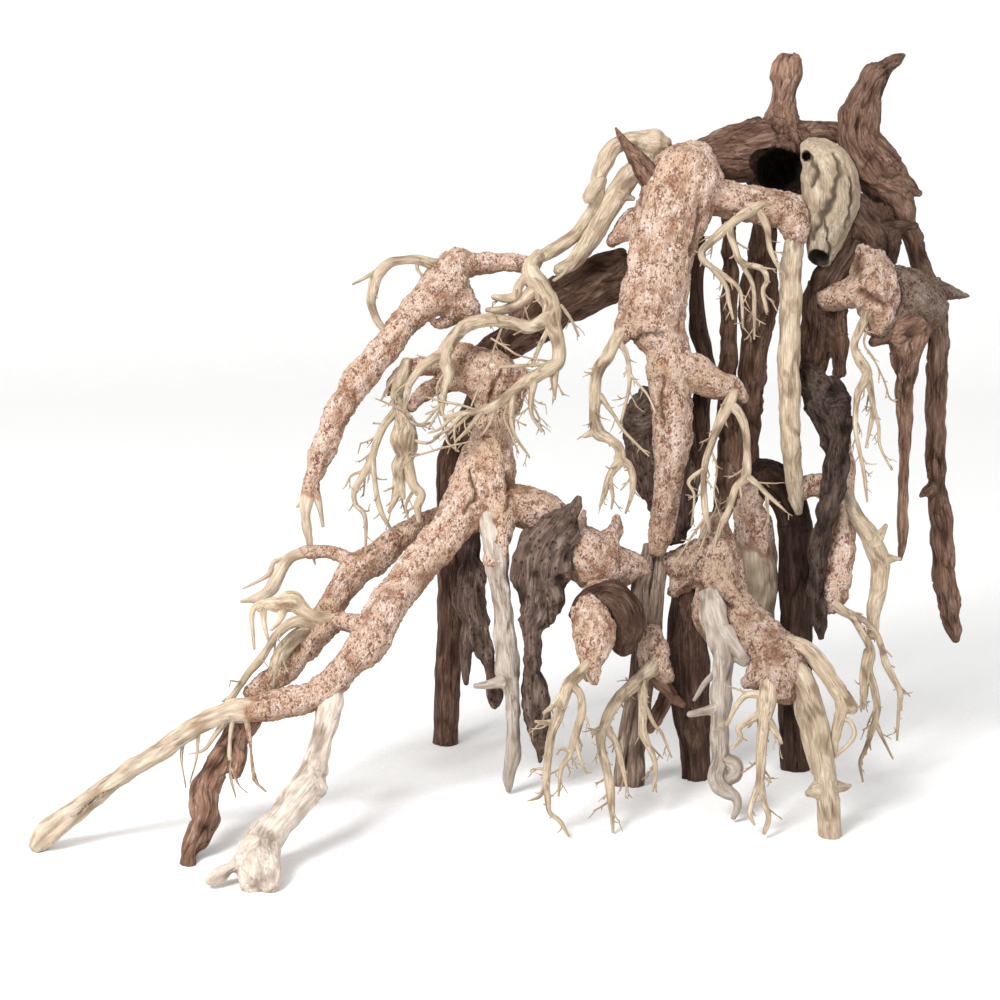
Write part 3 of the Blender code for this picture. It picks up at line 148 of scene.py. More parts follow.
PIECES["bridge_body"] = ("wood_grit", [
    (LIMB, [(6, -2, -6, 14), (19, -5, -10, 15), (32, -11, -14, 15), (44, -22, -16, 14),
            (55, -33, -17, 17.5), (67, -42, -17, 22), (80, -47, -15, 18), (93, -47, -13, 11),
            (103, -48, -11, 7)]),
    (ROOT, [(53, -26, -18, 9), (57, -16, -19, 5), (59, -8, -19, 2.4)]),
    (ROOT, [(75, -30, -17, 10), (81, -20, -17, 6), (81.5, -13, -17, 3.5)]),
])
PIECES["centre_body"] = ("wood_grit", [
    (LIMB, [(151, -12, -11, 9), (151, -27, -12, 13), (152, -45, -14, 17), (156, -62, -20, 16),
            (164, -76, -30, 14), (175, -88, -44, 14.5), (187, -100, -58, 16), (195, -112, -68, 18),
            (198, -126, -74, 16), (198, -138, -76, 10)]),
    (LIMB, [(151, -36, -12, 13), (138, -42, -9, 14), (125, -45, -8, 12), (115, -44, -9, 7)]),
    (ROOT, [(135, -50, -9, 11), (127, -58, -7, 9), (122, -64, -6, 5)]),
    (ROOT, [(150, -58, -16, 11), (143, -74, -18, 9.5), (144, -88, -19, 8), (147, -97, -20, 4)]),
    (ROOT, [(188, -98, -58, 13), (201, -104, -66, 9), (212, -106, -70, 5)]),
    (ROOT, [(190, -115, -66, 14), (180, -124, -66, 10), (173, -128, -65, 5)]),
])
PIECES["stake_lobe"] = ("wood_grit", [
    (LIMB, [(106, -90, -13, 6), (107, -101, -15, 10), (109, -113, -17, 10.5), (117, -125, -16, 6)]),
])
PIECES["front_lobe"] = ("wood_grit", [
    (LIMB, [(72, -46, -20, 8), (70, -58, -26, 9), (66, -70, -36, 10), (64, -80, -44, 13.5),
            (65.5, -91, -51, 16), (66, -101, -56, 14), (64.5, -111, -62, 10), (63.5, -118, -67, 7),
            (60, -122, -71, 6)]),
    (ROOT, [(64.5, -112, -62, 8), (65, -121, -68, 6), (66, -126, -71, 4)]),
])
PIECES["second_limb"] = ("wood_grit", [
    (LIMB, [(-36, -8, 8, 6), (-54, -16, 3, 7.5), (-65, -23, -2, 9), (-76, -31, -7, 10),
            (-87, -41, -11, 12), (-100, -49, -17, 12.5), (-110, -61, -24, 10.5), (-118, -72, -30, 10.5),
            (-123, -86, -37, 12), (-134, -98, -44, 10.5), (-143, -110, -51, 9.5), (-151, -120, -58, 9.5),
            (-162, -129, -66, 9.5), (-173, -140, -75, 9)]),
    (ROOT, [(-102, -45, -15, 8), (-112, -38, -13, 5.5), (-125, -36, -14, 5.5), (-139, -37.5, -16, 4.8),
            (-148, -42, -18, 5), (-156, -55, -20, 5), (-163, -65, -22, 5), (-171, -69, -23, 4),
            (-181, -71, -24, 2)]),
    (TWIG, [(-148, -42, -18, 3), (-158, -43, -20, 2.3), (-163, -53, -22, 2.2), (-180, -62, -26, 1.1)]),
])
PIECES["upper_left_limb"] = ("wood_grit", [
    (LIMB, [(23, 165, 14, 5), (12, 166, 13, 6.5), (-3, 166, 12, 7), (-17, 165, 9, 8.5), (-31, 163, 6, 14),
            (-39, 150, 3, 16), (-54, 137, 0, 12.5), (-68, 123, -3, 10.8), (-80, 107, -7, 10.6),
            (-91, 94, -10, 10.6), (-101, 82, -13, 10.2), (-110, 66, -15, 9.8), (-118, 49.5, -16, 9.2),
            (-124, 34.5, -17, 8.6), (-129, 20, -17, 7), (-134, 9, -17, 5.3), (-136, -5, -16, 4.8),
            (-136, -17, -15, 4), (-133, -32, -13, 3), (-129, -46, -11, 1.4)]),
    (LIMB, [(-33, 148, 4, 13), (-27, 138, 6, 11), (-21, 130, 8, 8.5), (-17, 126, 9, 5)]),
    (TWIG, [(-130, 12, -17, 4), (-126.5, -3, -16, 3), (-124, -18, -15, 1.6)]),
    (TWIG, [(-135, 2, -16, 3.5), (-142, -5, -16, 1.5)]),
    (ROOT, [(-29, 133, 7, 9), (-36, 126, 5, 5.6), (-44, 123, 4.5, 3.7), (-49, 127, 5, 2.2)]),
])
PIECES["right_body"] = ("wood_grit", [
    (LIMB, [(256, 179, 4, 8), (259, 165, 2, 14), (264, 147, 0, 19), (266, 131, -2, 15),
            (263, 118, -2, 8)]),
    (ROOT, [(254, 147, 1, 13), (241, 144, 7, 11), (230, 141, 13, 9)]),
])
PIECES["dark_joint"] = ("wood_grit", [
    (LIMB, [(271, 160, 0, 7), (281, 151, -3, 14), (291, 142, -3, 18), (299, 133, -2, 15),
            (303, 123, 0, 9)]),
    (ROOT, [(284, 140, -2, 14), (274, 128, -2, 12), (266, 118, -2, 7)]),
    (TWIG, [(304, 147, 3, 9), (316, 145, 5, 5), (328, 143, 5, 1.8)]),
])
PIECES["right_lower_limb"] = ("wood_grit", [
    (LIMB, [(240, 50, 12, 5), (240, 26, 12, 8), (239, 5, 12, 9.5), (238, -15, 11, 10),
            (236, -35, 9, 11.5), (234, -52, 7, 12.5), (231, -68, 5, 10), (230, -77, 4, 6)]),
    (ROOT, [(233, 10, 13, 9), (221, 10, 14, 8.5), (213, 9, 14, 8), (208, 2, 17, 6)]),
])

# Dark and weathered wood at the top
PIECES["beam"] = ("weathered_wood", [
    (LIMB, [(94, 160, 28, 13), (86, 156, 33, 16), (70, 152, 37, 18), (52, 144, 38, 18),
            (35, 133, 37, 16.5), (15, 117, 35, 14), (0, 107, 32, 12), (-14, 99, 28, 8)]),
    (TWIG, [(84, 170, 28, 6), (68, 168, 27, 5), (54, 160, 27, 3.5)]),
])
PIECES["crown_log"] = ("weathered_wood", [
    (LIMB, [(202, 309, 24, 8.5), (201.6, 304, 24, 10.6), (201, 294, 24, 10.4), (199, 282, 24, 8),
            (198, 272, 25, 10), (197, 262, 27, 16), (197, 250, 29, 23), (196, 236, 29, 27),
            (196, 222, 27, 22), (197, 209, 25, 11)]),
    (LIMB, [(128, 239, 12, 9), (140, 239, 13, 14), (154, 241, 15, 17.5), (168, 243, 18, 20),
            (184, 247, 23, 21)]),
    (ROOT, [(204, 258, 30, 8), (225, 258, 30, 7.5), (241, 256, 27, 7)]),
], [
    (LIMB, [(196, 230, -8, 14), (196, 230, 12, 16), (195, 232, 36, 12)]),
    (ROOT, [(184, 236, -6, 8), (183, 237, 12, 9)]),
])
PIECES["horn_root"] = ("weathered_wood", [
    (LIMB, [(283, 312, 18, 1.5), (277, 308, 18, 4), (270, 303, 18, 6.8), (263, 296, 17, 9.8),
            (257, 283, 16, 11.5), (252, 268, 15, 14.2), (251, 254, 15, 15.2), (254, 244, 14, 15.5),
            (262, 233, 13, 17), (270, 222, 13, 17), (277, 211, 12, 13), (282, 200, 13, 9),
            (286, 190, 16, 7), (291, 177, 21, 6.8), (295, 164, 25, 7), (300, 150, 29, 7.6),
            (304, 135, 31, 8.2), (306, 115, 33, 7.8), (306, 95, 35, 7.5), (305.5, 72, 37, 7),
            (305.5, 48, 40, 7), (305.5, 25, 43, 7), (306.5, 2, 46, 7.3), (309, -22, 49, 8.2),
            (311, -50, 53, 8), (314, -78, 57, 6.8), (317, -92, 59, 5.3), (319, -99, 60, 2.8)]),
    (ROOT, [(274, 222, 10, 12), (284, 219, 9, 8), (293, 215, 8, 3)]),
    (TWIG, [(304, 10, 45, 5), (298, 6, 45, 4), (295, 3, 45, 2)]),
])
PIECES["knuckle"] = ("pale_root", [
    (LIMB, [(215, 250, 5, 6), (219, 245, 4, 11), (224, 239, 3, 15), (228, 232, 2, 18.5),
            (231, 221, 1, 20), (232, 208, 0, 19.8), (231, 198, 0, 17.5), (229, 189, -1, 14.5),
            (226, 177, -2, 11.5), (223, 168, -4, 8)]),
], [
    (ROOT, [(213, 241, -16, 4), (214, 241, -4, 4), (217, 240, 6, 3)]),
    (ROOT, [(221, 160, -18, 6.5), (222, 166, -9, 7.5), (226, 178, 0, 6)]),
])
PIECES["grit_bar"] = ("wood_grit", [
    (LIMB, [(144, 213, -2, 13), (160, 210, -3, 13), (176, 207, -4, 13), (191, 204, -4, 13.5),
            (203, 201, -4, 14), (212, 198, -4, 8)]),
    (LIMB, [(203, 198, -5, 13), (206, 189, -5, 11), (207, 181, -5, 8)]),
])
PIECES["dark_knot"] = ("weathered_wood", [
    (LIMB, [(244, 212, 8, 8), (252, 200, 6, 14), (262, 188, 4, 17), (268, 176, 4, 13), (268, 164, 5, 6)]),
    (TWIG, [(268, 190, 4, 8), (280, 192, 3, 5.5), (291, 192, 3, 2.6)]),
    (LIMB, [(250, 190, 8, 11), (242, 174, 11, 12.5), (232, 159, 14, 12), (223, 146, 19, 9)]),
])
PIECES["thorn"] = ("weathered_wood", [
    (ROOT, [(81, 260, -10, .9), (86, 251.5, -10, 3.4), (93, 242, -10, 5.6), (102, 230, -10, 8.5),
            (109, 220, -10, 9)]),
])

# Brown posts and weathered pieces behind the trunk
PIECES["brown_post_right"] = ("weathered_wood", [
    (LIMB, [(191, 214, 30, 8.5), (187, 196, 32, 9), (184, 178, 34, 10), (182, 156, 36, 12.5),
            (181, 137, 36, 13), (179, 114, 36, 10.5), (177, 92, 36, 9.5), (176, 72, 36, 8.5),
            (176, 56, 36, 6.5), (177, 44, 36, 4.5), (178, 32, 36, 4), (179, 22, 36, 4.5)]),
])
PIECES["brown_post_mid"] = ("weathered_wood", [
    (LIMB, [(160, 205, 18, 5), (160.5, 180, 24, 5.5), (160.5, 150, 30, 5.5), (160, 118, 32, 5.5),
            (159.5, 85, 30, 6.5), (160, 62, 26, 8), (161, 42, 22, 9), (160, 20, 16, 9), (157, 0, 8, 8),
            (153, -16, 0, 6)]),
])
PIECES["dark_strand"] = ("dark_hardwood", [
    (ROOT, [(140, 182, 2, 4), (138, 160, 3, 5), (138, 140, 3, 5.5), (139, 120, 2, 6), (143, 105, 0, 6),
            (145, 92, -4, 6), (142, 76, -1, 6.5), (139, 60, 2, 7.5), (139, 42, 4, 7.5), (138, 24, 6, 6)]),
])
PIECES["grey_slab"] = ("grey_driftwood", [
    (LIMB, [(114, 74, 8, 18), (113, 60, 10, 26), (113, 43, 10, 27), (116, 25, 9, 26), (119, 6, 8, 21),
            (121, -12, 5, 15), (122, -28, 1, 8)], 0.36),
    (LIMB, [(112, 64, 10, 17), (99, 56, 10, 11), (87, 55, 10, 3)], 0.36),
])
PIECES["wide_brown_piece"] = ("weathered_wood", [
    (LIMB, [(222, 152, 22, 8), (221, 142, 23, 10), (222, 126, 24, 11), (221, 108, 22, 11),
            (219, 94, 19, 10), (216, 83, 14, 7)]),
    (ROOT, [(238, 136, 14, 5.5), (238, 118, 17, 6), (238, 105, 17, 6), (238, 90, 16, 4.5)]),
    (TWIG, [(224, 132, 24, 6), (232, 124, 20, 5), (238, 116, 17, 4)]),
])
PIECES["lower_grey_root"] = ("grey_driftwood", [
    (LIMB, [(214, 92, 10, 6), (221, 80, 6, 12), (228, 71, 3, 16.5), (232.5, 56, -1, 13),
            (236, 40, -4, 10), (235, 28, -5, 8.8), (233.5, 14, -6, 8.6), (231, 1, -7, 8),
            (228, -12, -7, 7.2), (224, -32, -6, 6.8), (222, -50, -4, 6.4), (222, -68, -4, 6),
            (224, -86, -5, 5.2), (225, -97, -5, 2.2)]),
    (TWIG, [(234, 68, 0, 8), (243, 71, -1, 3.6)]),
])

# The pale branches that join the top to the left side
PIECES["pale_branch_upper"] = ("pale_root", [
    (ROOT, [(114, 248, 2, 7), (108, 249, 1, 10.5), (100, 250, -1, 9), (91, 251, -4, 6.6),
            (80, 247, -6, 6.2), (74, 238, -6, 6), (69, 226, -5, 5.4), (67, 207, -2, 4.9),
            (60, 195, 2, 4.8), (52, 185, 6, 5), (42, 178, 9, 5), (30, 171, 11, 4.5)]),
    (ROOT, [(70, 224, -5, 5), (65, 217, -8, 4.8), (62, 212, -10, 4.5)]),
])
PIECES["pale_branch_lower"] = ("pale_root", [
    (ROOT, [(103, 238, -2, 6), (93, 229, -3, 7.5), (86, 220, -4, 7.8), (79, 209, -3, 7.5),
            (72, 198, -1, 7.2), (66, 187, 1, 6.8), (59, 176, 4, 6.5), (51, 166, 7, 5.5),
            (42, 161, 9, 4.5)]),
    (TWIG, [(84, 214, -4, 5), (93, 211, -5, 1.8)]),
])
PIECES["hub_roots"] = ("pale_root", [
    (ROOT, [(27, 171, 8, 4.5), (22, 160, 4, 7), (29, 147, 0, 7), (35.5, 137, -4, 6.2), (36, 125, -7, 6),
            (40, 113, -10, 5), (41.5, 102, -13, 4.6), (40, 95, -15, 4.7), (33, 91, -16, 5),
            (24, 86, -16, 4.6), (14, 79, -17, 4.2), (6, 73, -18, 3.7), (-3, 66.5, -19, 3.5),
            (-14.5, 62, -20, 3), (-28, 60, -20, 2.2), (-39, 58, -20, 1.3)]),
    (ROOT, [(35, 128, -7, 5.4), (21, 121, -8, 4.6), (8, 124, -10, 4.6), (-7, 126, -10, 4.6),
            (-19, 124, -10, 4.7), (-28.5, 118.5, -11, 5), (-35, 110, -12, 5.2), (-39, 101, -13, 5),
            (-36, 88, -14, 4), (-39, 76, -16, 2.8), (-41, 60, -17, 1.4)]),
    (ROOT, [(-38, 103, -13, 4.5), (-50, 97, -15, 3.6), (-58, 89, -17, 3), (-64, 80, -18, 2.5),
            (-65, 73, -19, 2), (-67, 62, -19, 1.1)]),
    (ROOT, [(27, 150, 1, 5), (15, 139, 0, 4.2), (4, 133.5, -1, 3.5), (-9, 133, -1, 1.8)]),
    (TWIG, [(22, 160, 3, 4), (14, 151, -1, 3.3), (11, 143, -3, 3.2), (4, 141, -3, 3.2),
            (-4, 142, -2, 2.2)]),
    (TWIG, [(34, 120, -8, 2), (27, 106, -12, 1.6), (22.6, 94, -15, 1.4)]),
    (TWIG, [(39, 94, -15, 3), (38, 71, -16, 1.2)]),
    (TWIG, [(24, 86, -17, 3), (21.5, 63, -18, 1.7), (29, 48, -19, .9)]),
    (TWIG, [(9, 75, -18, 3), (8.6, 50, -19, 1.5), (20.5, 30, -20, .8)]),
    (TWIG, [(-13, 62, -20, 2.4), (-22, 50, -21, 1.4), (-31, 41, -22, .9)]),
    (TWIG, [(-27, 60, -20, 2), (-36, 50, -21, 1.3), (-46, 44, -21, .9)]),
])
PIECES["loop_root"] = ("pale_root", [
    (ROOT, [(-44, 164, 3, 4.5), (-57, 168, -1, 3.4), (-67, 168, -3, 3.3), (-77, 166, -5, 3.6),
            (-86, 157, -7, 4), (-89, 146, -8, 3.9), (-90, 137, -8, 3.3), (-86, 126, -7, 2.8),
            (-79, 117, -6, 2.4)]),
    (TWIG, [(-88, 159, -7, 1.8), (-103, 151, -11, .8)]),
])
PIECES["tan_knot_root"] = ("pale_root", [
    (ROOT, [(-65, 95, -4, 5), (-71.6, 77, -8, 4.6), (-70.5, 64, -10, 4.6), (-68, 54, -11, 6),
            (-67, 43, -12, 9.5), (-66.5, 31, -13, 7), (-71, 23, -14, 5), (-70, 14, -14, 4),
            (-68, 2, -15, 1.8)]),
    (TWIG, [(-71, 20, -14, 4), (-73, 3, -15, 2.8), (-77.5, -8, -16, 1.3)]),
    (TWIG, [(-66, 29, -13, 5), (-61, 11, -14, 3.6), (-55, 4, -14, 3.2), (-57.6, -5, -15, 2.8),
            (-56.5, -15, -15, 1.6)]),
    (TWIG, [(-71, 64, -10, 4), (-80, 54, -12, 2.8), (-86, 42, -14, 2.8), (-89.5, 30, -16, 2.8),
            (-96, 17, -18, 2.4), (-102, 6, -20, 2.1), (-101, -3, -21, 1.9), (-94.5, -12, -22, 1.6),
            (-94, -38, -23, .8)]),
    (TWIG, [(-89.5, 30, -16, 2.6), (-88, 18, -18, 2), (-86, 2, -19, 1.9), (-82, -11, -20, 1.7),
            (-76, -21, -20, 1)]),
])

# The left side: a dark foot, a pale foot and the roots on the second limb
PIECES["dark_foot"] = ("weathered_wood", [
    (LIMB, [(-171, -147, -78, 7), (-180, -160, -87, 8.5), (-190, -174, -97, 9), (-201, -190, -108, 9.5),
            (-208, -206, -118, 10), (-206, -221, -127, 9.3), (-211, -234, -134, 8.8),
            (-217, -247, -141, 6.8), (-219, -264, -149, 6)]),
    (ROOT, [(-178, -157, -86, 6), (-182, -172, -95, 6), (-183, -184, -101, 6.5),
            (-185, -191, -104, 4.5)]),
])
PIECES["pale_foot"] = ("bleached_wood", [
    (LIMB, [(-117, -132, -78, 8), (-120, -150, -90, 8.8), (-124, -166, -103, 8.2),
            (-129, -182, -115, 8.6), (-134, -198, -127, 11.5), (-143, -211, -138, 12),
            (-155, -226, -150, 11.5), (-166, -240, -162, 14), (-171, -254, -175, 15),
            (-171, -270, -190, 11)]),
    (ROOT, [(-174, -248, -172, 9), (-186, -256, -179, 4.6), (-195, -262, -184, 5.6),
            (-202, -266, -188, 4.6)]),
    (ROOT, [(-166, -250, -172, 11), (-162, -260, -182, 9), (-161, -270, -190, 7)]),
    (ROOT, [(-132, -196, -125, 9), (-126, -203, -129, 6)]),
])
PIECES["bulb_root"] = ("pale_root", [
    (ROOT, [(-121, -83, -44, 5), (-131, -81, -50, 4.6), (-139, -76, -52, 5.5), (-146, -71, -53, 8),
            (-154, -73, -54, 6), (-162, -73, -56, 4), (-168, -76, -57, 2.6)]),
    (TWIG, [(-166, -74, -57, 3), (-165, -87, -58, 1.8), (-162, -99, -58, 1)]),
    (TWIG, [(-160, -72, -56, 3.4), (-173, -77, -57, 2.2), (-172, -104, -59, 1)]),
    (TWIG, [(-151, -73, -54, 5), (-154, -84, -56, 2), (-160, -91, -58, 1)]),
])
PIECES["side_roots"] = ("pale_root", [
    (ROOT, [(-133, -88, -48, 6), (-141, -85, -55, 5), (-149, -88, -58, 4.3), (-157, -95, -61, 3.7),
            (-162, -103, -64, 3.3), (-168, -112, -68, 3.2), (-176, -121, -74, 3.2), (-182, -130, -80, 3),
            (-189, -140, -88, 2.8)]),
    (ROOT, [(-137, -92, -51, 6), (-145, -98, -57, 6.5), (-153, -107, -62, 6), (-158, -118, -66, 4.5),
            (-160, -130, -72, 3)]),
])
PIECES["pale_strut"] = ("bleached_wood", [
    (LIMB, [(-8, -10, -22, 8), (-3, -38, -24, 8), (0, -62, -24, 7.4), (3, -85, -24, 7.2),
            (4.5, -105, -24, 8.4), (5.5, -121, -24, 8.8), (8.5, -137, -24, 5.2), (9, -155, -23, 5),
            (9.5, -172, -22, 5.6), (8, -184, -21, 5), (6, -195, -20, 4), (6, -204, -19, 1.8)]),
    (TWIG, [(2, -127, -24, 5), (-8, -129, -24, 3), (-17, -130, -24, 2)]),
])
PIECES["grey_stub"] = ("grey_driftwood", [
    (ROOT, [(-17, -14, -4, 5), (-19, -38, -7, 6.5), (-20, -54, -8, 9.5), (-20, -70, -8, 10.5),
            (-17, -86, -8, 10), (-14, -98, -8, 8), (-9, -112, -8, 5.5), (-5, -124, -8, 5),
            (-3, -136, -8, 6), (-3, -143, -8, 3.5)]),
    (TWIG, [(-20, -84, -8, 7), (-23, -98, -8, 5), (-24, -112, -8, 4), (-23.5, -128, -8, 2)]),
])
PIECES["driftwood_plate"] = ("grey_driftwood", [
    (LIMB, [(55, 2, -34, 3), (51, -7, -34, 7), (45, -17, -34, 13), (37, -27, -34, 19), (31, -39, -33, 22),
            (29, -53, -31, 21), (28, -67, -29, 18), (26, -79, -28, 13), (22, -91, -27, 8),
            (22, -105, -26, 6), (23, -119, -25, 6)], 0.36),
    (LIMB, [(32, -58, -30, 15), (38, -71, -28, 9), (40, -79, -28, 3.5)], 0.4),
    (ROOT, [(23, -113, -25, 6), (24, -129, -24, 8.5), (25, -146, -24, 10), (27, -160, -24, 8.5),
            (29, -173, -24, 4.5), (28, -183, -24, 1.8)]),
])
PIECES["bark_cap"] = ("dark_hardwood", [
    (LIMB, [(51, -82, -42, 4), (58, -73, -41, 7.5), (70, -68, -39, 11), (82, -73, -37, 14),
            (88, -86, -37, 13.5), (88, -98, -39, 10), (84, -106, -42, 6)]),
])
PIECES["dark_stub"] = ("weathered_wood", [
    (ROOT, [(107, -124, -16, 5), (115, -131, -14, 5.3), (122, -138, -11, 4.5), (128, -143, -9, 2.5)]),
    (ROOT, [(105, -160, -8, 3.5), (109, -152, -7, 5.5), (114, -143, -7, 5.5), (118, -134, -10, 5)]),
])

# Hanging roots and sprays at the front
PIECES["front_root"] = ("bleached_wood", [
    (LIMB, [(147, -66, -34, 8), (149, -78, -40, 9.6), (153, -92, -46, 9.4), (156, -106, -51, 8.6),
            (156, -121, -55, 7.4), (155, -135, -58, 6.8), (154, -150, -61, 6.6), (154, -166, -64, 6.6),
            (154, -181, -67, 6.4), (152, -194, -70, 7), (157, -203, -72, 5.8), (165, -209, -73, 4),
            (166, -216, -74, 3.2), (163, -223, -75, 1.8)]),
    (LIMB, [(157, -94, -48, 8), (164, -102, -51, 7), (169, -108, -53, 6.6), (173, -113, -54, 5)]),
    (TWIG, [(153, -146, -60, 4.4), (142, -148, -58, 3.4), (133, -150, -56, 2.2)]),
    (TWIG, [(152, -120, -54, 3.2), (144, -128, -51, 2.2), (136, -140, -48, 1.3)]),
    (ROOT, [(156, -182, -67, 5.5), (163, -185, -69, 6), (165, -191, -70, 6), (160, -196, -70, 4.5)]),
])
PIECES["foot_root"] = ("pale_root", [
    (LIMB, [(203, -112, -76, 7), (210, -124, -80, 8), (216, -136, -83, 8), (220, -150, -86, 8),
            (223.5, -165, -88, 7.8), (226, -181, -90, 7.8), (228, -196, -92, 8), (229.5, -211, -94, 8),
            (230.5, -226, -96, 8), (231, -246, -99, 7.6)]),
    (TWIG, [(222, -203, -92, 7), (216, -205, -91, 3)]),
    (TWIG, [(233, -200, -92, 5), (241, -201, -91, 3.4), (245, -200, -90, 1.8)]),
    (ROOT, [(209, -130, -76, 5), (211, -146, -78, 5), (214, -161, -81, 4.5), (217, -176, -84, 3.6),
            (220, -190, -87, 2.6)]),
])
PIECES["green_arm"] = ("pale_root", [
    (ROOT, [(204, -99, -74, 5), (214, -104, -77, 5.6), (222, -112, -80, 5.8), (229, -122, -82, 5.8),
            (235, -131, -84, 5.8), (241, -139, -85, 6), (246, -145, -86, 5)]),
    (ROOT, [(238, -133, -84, 5), (239, -147, -86, 4.2), (236, -160, -87, 3.8), (234, -170, -88, 3),
            (235, -179, -89, 1.5)]),
    (TWIG, [(236, -151, -86, 2.4), (246, -156, -88, 1.8), (247, -167, -89, 1.7), (234, -180, -90, 1.1)]),
])
PIECES["twig_root"] = ("pale_root", [
    (ROOT, [(188, -128, -78, 6), (187, -140, -81, 6.6), (185, -151, -84, 5.6), (184, -164, -87, 4.2),
            (183, -177, -90, 3.6), (182.5, -190, -93, 3.2), (181, -199, -95, 2.8), (177, -210, -97, 2),
            (175, -220, -99, 1.7), (178, -227, -101, 1)]),
    (TWIG, [(182, -196, -94, 3), (185, -212, -98, 2.2), (188, -222, -100, 2.1), (185, -233, -104, 1.5)]),
    (TWIG, [(184, -149, -84, 3.4), (174, -155, -86, 2.6), (167, -160, -88, 2.2), (168, -167, -89, 2),
            (162, -174, -90, 1.2)]),
    (TWIG, [(186, -152, -84, 4), (194, -164, -87, 2.1), (197, -170, -88, 1.1)]),
    (TWIG, [(186, -137, -80, 3.4), (174, -136, -76, 2.6), (166, -143, -75, 2), (159, -157, -75, 1.2)]),
])
PIECES["spray_front_left"] = ("pale_root", [
    (ROOT, [(61, -115, -69, 5), (55, -122, -77, 6), (48, -130, -84, 6.8), (44, -142, -87, 5.6),
            (40, -153, -90, 5), (36, -164, -92, 4.6), (34, -179, -95, 4.3), (32.5, -196, -98, 4),
            (33.5, -211, -100, 3.1), (35, -219, -101, 2.5), (42, -225, -102, 2.3),
            (48, -235, -104.5, 1.2)]),
    (TWIG, [(49, -128, -84, 5), (56, -136, -86, 4.2), (57.5, -147, -88, 4.1), (55, -158, -90, 4.3),
            (52, -168, -92, 4.1), (49, -178, -94, 3.2), (43, -188, -96, 2.6), (41, -207, -98, 1.1)]),
    (TWIG, [(53, -168, -92, 3), (56, -181, -94, 1.9), (61, -191, -95, .9)]),
    (TWIG, [(46, -134, -86, 4.4), (38, -143, -86, 2.9), (31, -149, -85, 1.7)]),
    (TWIG, [(40, -154, -90, 4), (32, -156, -90, 2.9), (25, -155, -89, 1.4)]),
    (TWIG, [(33, -197, -98, 3.4), (28, -207, -100, 2.3), (22, -210, -101, 1.1)]),
    (TWIG, [(34, -190, -97, 2), (27, -188, -97, 1.3), (22, -191, -97, .8)]),
    (TWIG, [(49, -176, -94, 2.6), (43, -174, -95, 1.6), (40, -178, -96, 1)]),
])
PIECES["spray_front_mid"] = ("pale_root", [
    (ROOT, [(108, -112, -20, 6), (104, -120, -29, 7), (94, -129, -37, 6.6), (86, -136, -44, 6.2),
            (78, -147, -53, 5.5), (73, -158, -61, 5), (70.5, -167, -67, 4.9), (72, -178, -73, 4.5),
            (75, -190, -79, 4.3), (77, -202, -84, 4.3), (78, -214, -89, 3.3), (79, -232, -96, 1.5)]),
    (TWIG, [(73, -158, -61, 4.4), (80, -168, -67, 3.2), (84, -180, -72, 2.8), (90, -207, -81, 1)]),
    (TWIG, [(71, -160, -63, 4), (65, -163, -65, 2.2)]),
    (ROOT, [(100, -125, -33, 6), (100, -140, -37, 4.3), (100, -152, -41, 4), (100, -163, -45, 3.8),
            (104, -172, -49, 3.1), (108, -182, -53, 2.7), (109, -192, -57, 2.1), (107, -204, -61, 1.1)]),
    (TWIG, [(100, -142, -38, 3), (108, -157, -41, 2), (113, -163, -43, 1.6), (120, -180, -47, .9)]),
])
PIECES["spray_trunk_left"] = ("pale_root", [
    (ROOT, [(86, 119, -25, 5), (80, 110, -28, 5.2), (76, 101, -30, 5.3), (70, 93, -31, 5.4),
            (67, 83, -32, 4.8), (66.5, 70, -33, 4.6), (66, 57, -33, 4.8), (69, 47, -34, 5.8),
            (76, 43, -35, 4.2), (83, 37, -36, 4.3), (84, 28, -36, 4.3), (80, 22, -37, 3.5),
            (76, 15, -37, 3), (73, 4, -38, 2.4), (70, -4, -38, 1.2)]),
    (TWIG, [(83, 29, -36, 4), (91, 23, -37, 3.2), (93, 13, -37, 2.8), (92, 3, -38, 1.9),
            (88, -9, -38, 1)]),
    (TWIG, [(68, 49, -34, 4.5), (59.5, 45, -34, 2.2)]),
    (TWIG, [(82, 113, -27, 3), (89, 100, -29, 2.3), (90.5, 80, -30, 1.8), (84, 52, -32, 1)]),
    (TWIG, [(70, 73, -33, 2.6), (80, 59, -35, 1.6), (87, 48, -36, 1.3), (104, 31, -44, .8)]),
    (TWIG, [(76, 15, -37, 2.8), (79, 3, -38, 1.6), (78, -6, -38, .9)]),
])
PIECES["spray_bar"] = ("pale_root", [
    (ROOT, [(198, 205, -12, 4.6), (184, 206, -14, 4.3), (171, 200, -16, 3.7), (158, 190, -17, 3.3),
            (147, 180, -18, 3), (141, 173, -19, 2.8), (144, 166, -19, 2.4), (157, 157, -20, 1.8),
            (166, 149, -20, 1.1)]),
    (TWIG, [(160, 191, -17, 3), (164, 178, -19, 2.5), (169, 166, -20, 2.3), (183, 162, -21, 2),
            (187, 154, -21, 1.8), (184, 146, -21, 1.6), (187, 132, -21, 1)]),
    (TWIG, [(147, 164, -19, 2.3), (158, 150, -20, 1.7), (160, 140, -20, 1.5), (163, 127, -20, .9)]),
    (TWIG, [(157, 157, -20, 1.9), (168, 146, -20, 1.5), (170, 121, -20, .8)]),
    (TWIG, [(169, 166, -20, 2), (177, 150, -21, 1.6), (178, 132, -21, 1.3), (178, 113, -21, .8)]),
    (TWIG, [(180, 205, -14, 3.2), (187, 190, -17, 2.5), (189, 176, -18, 2), (196, 160, -22, 1)]),
])
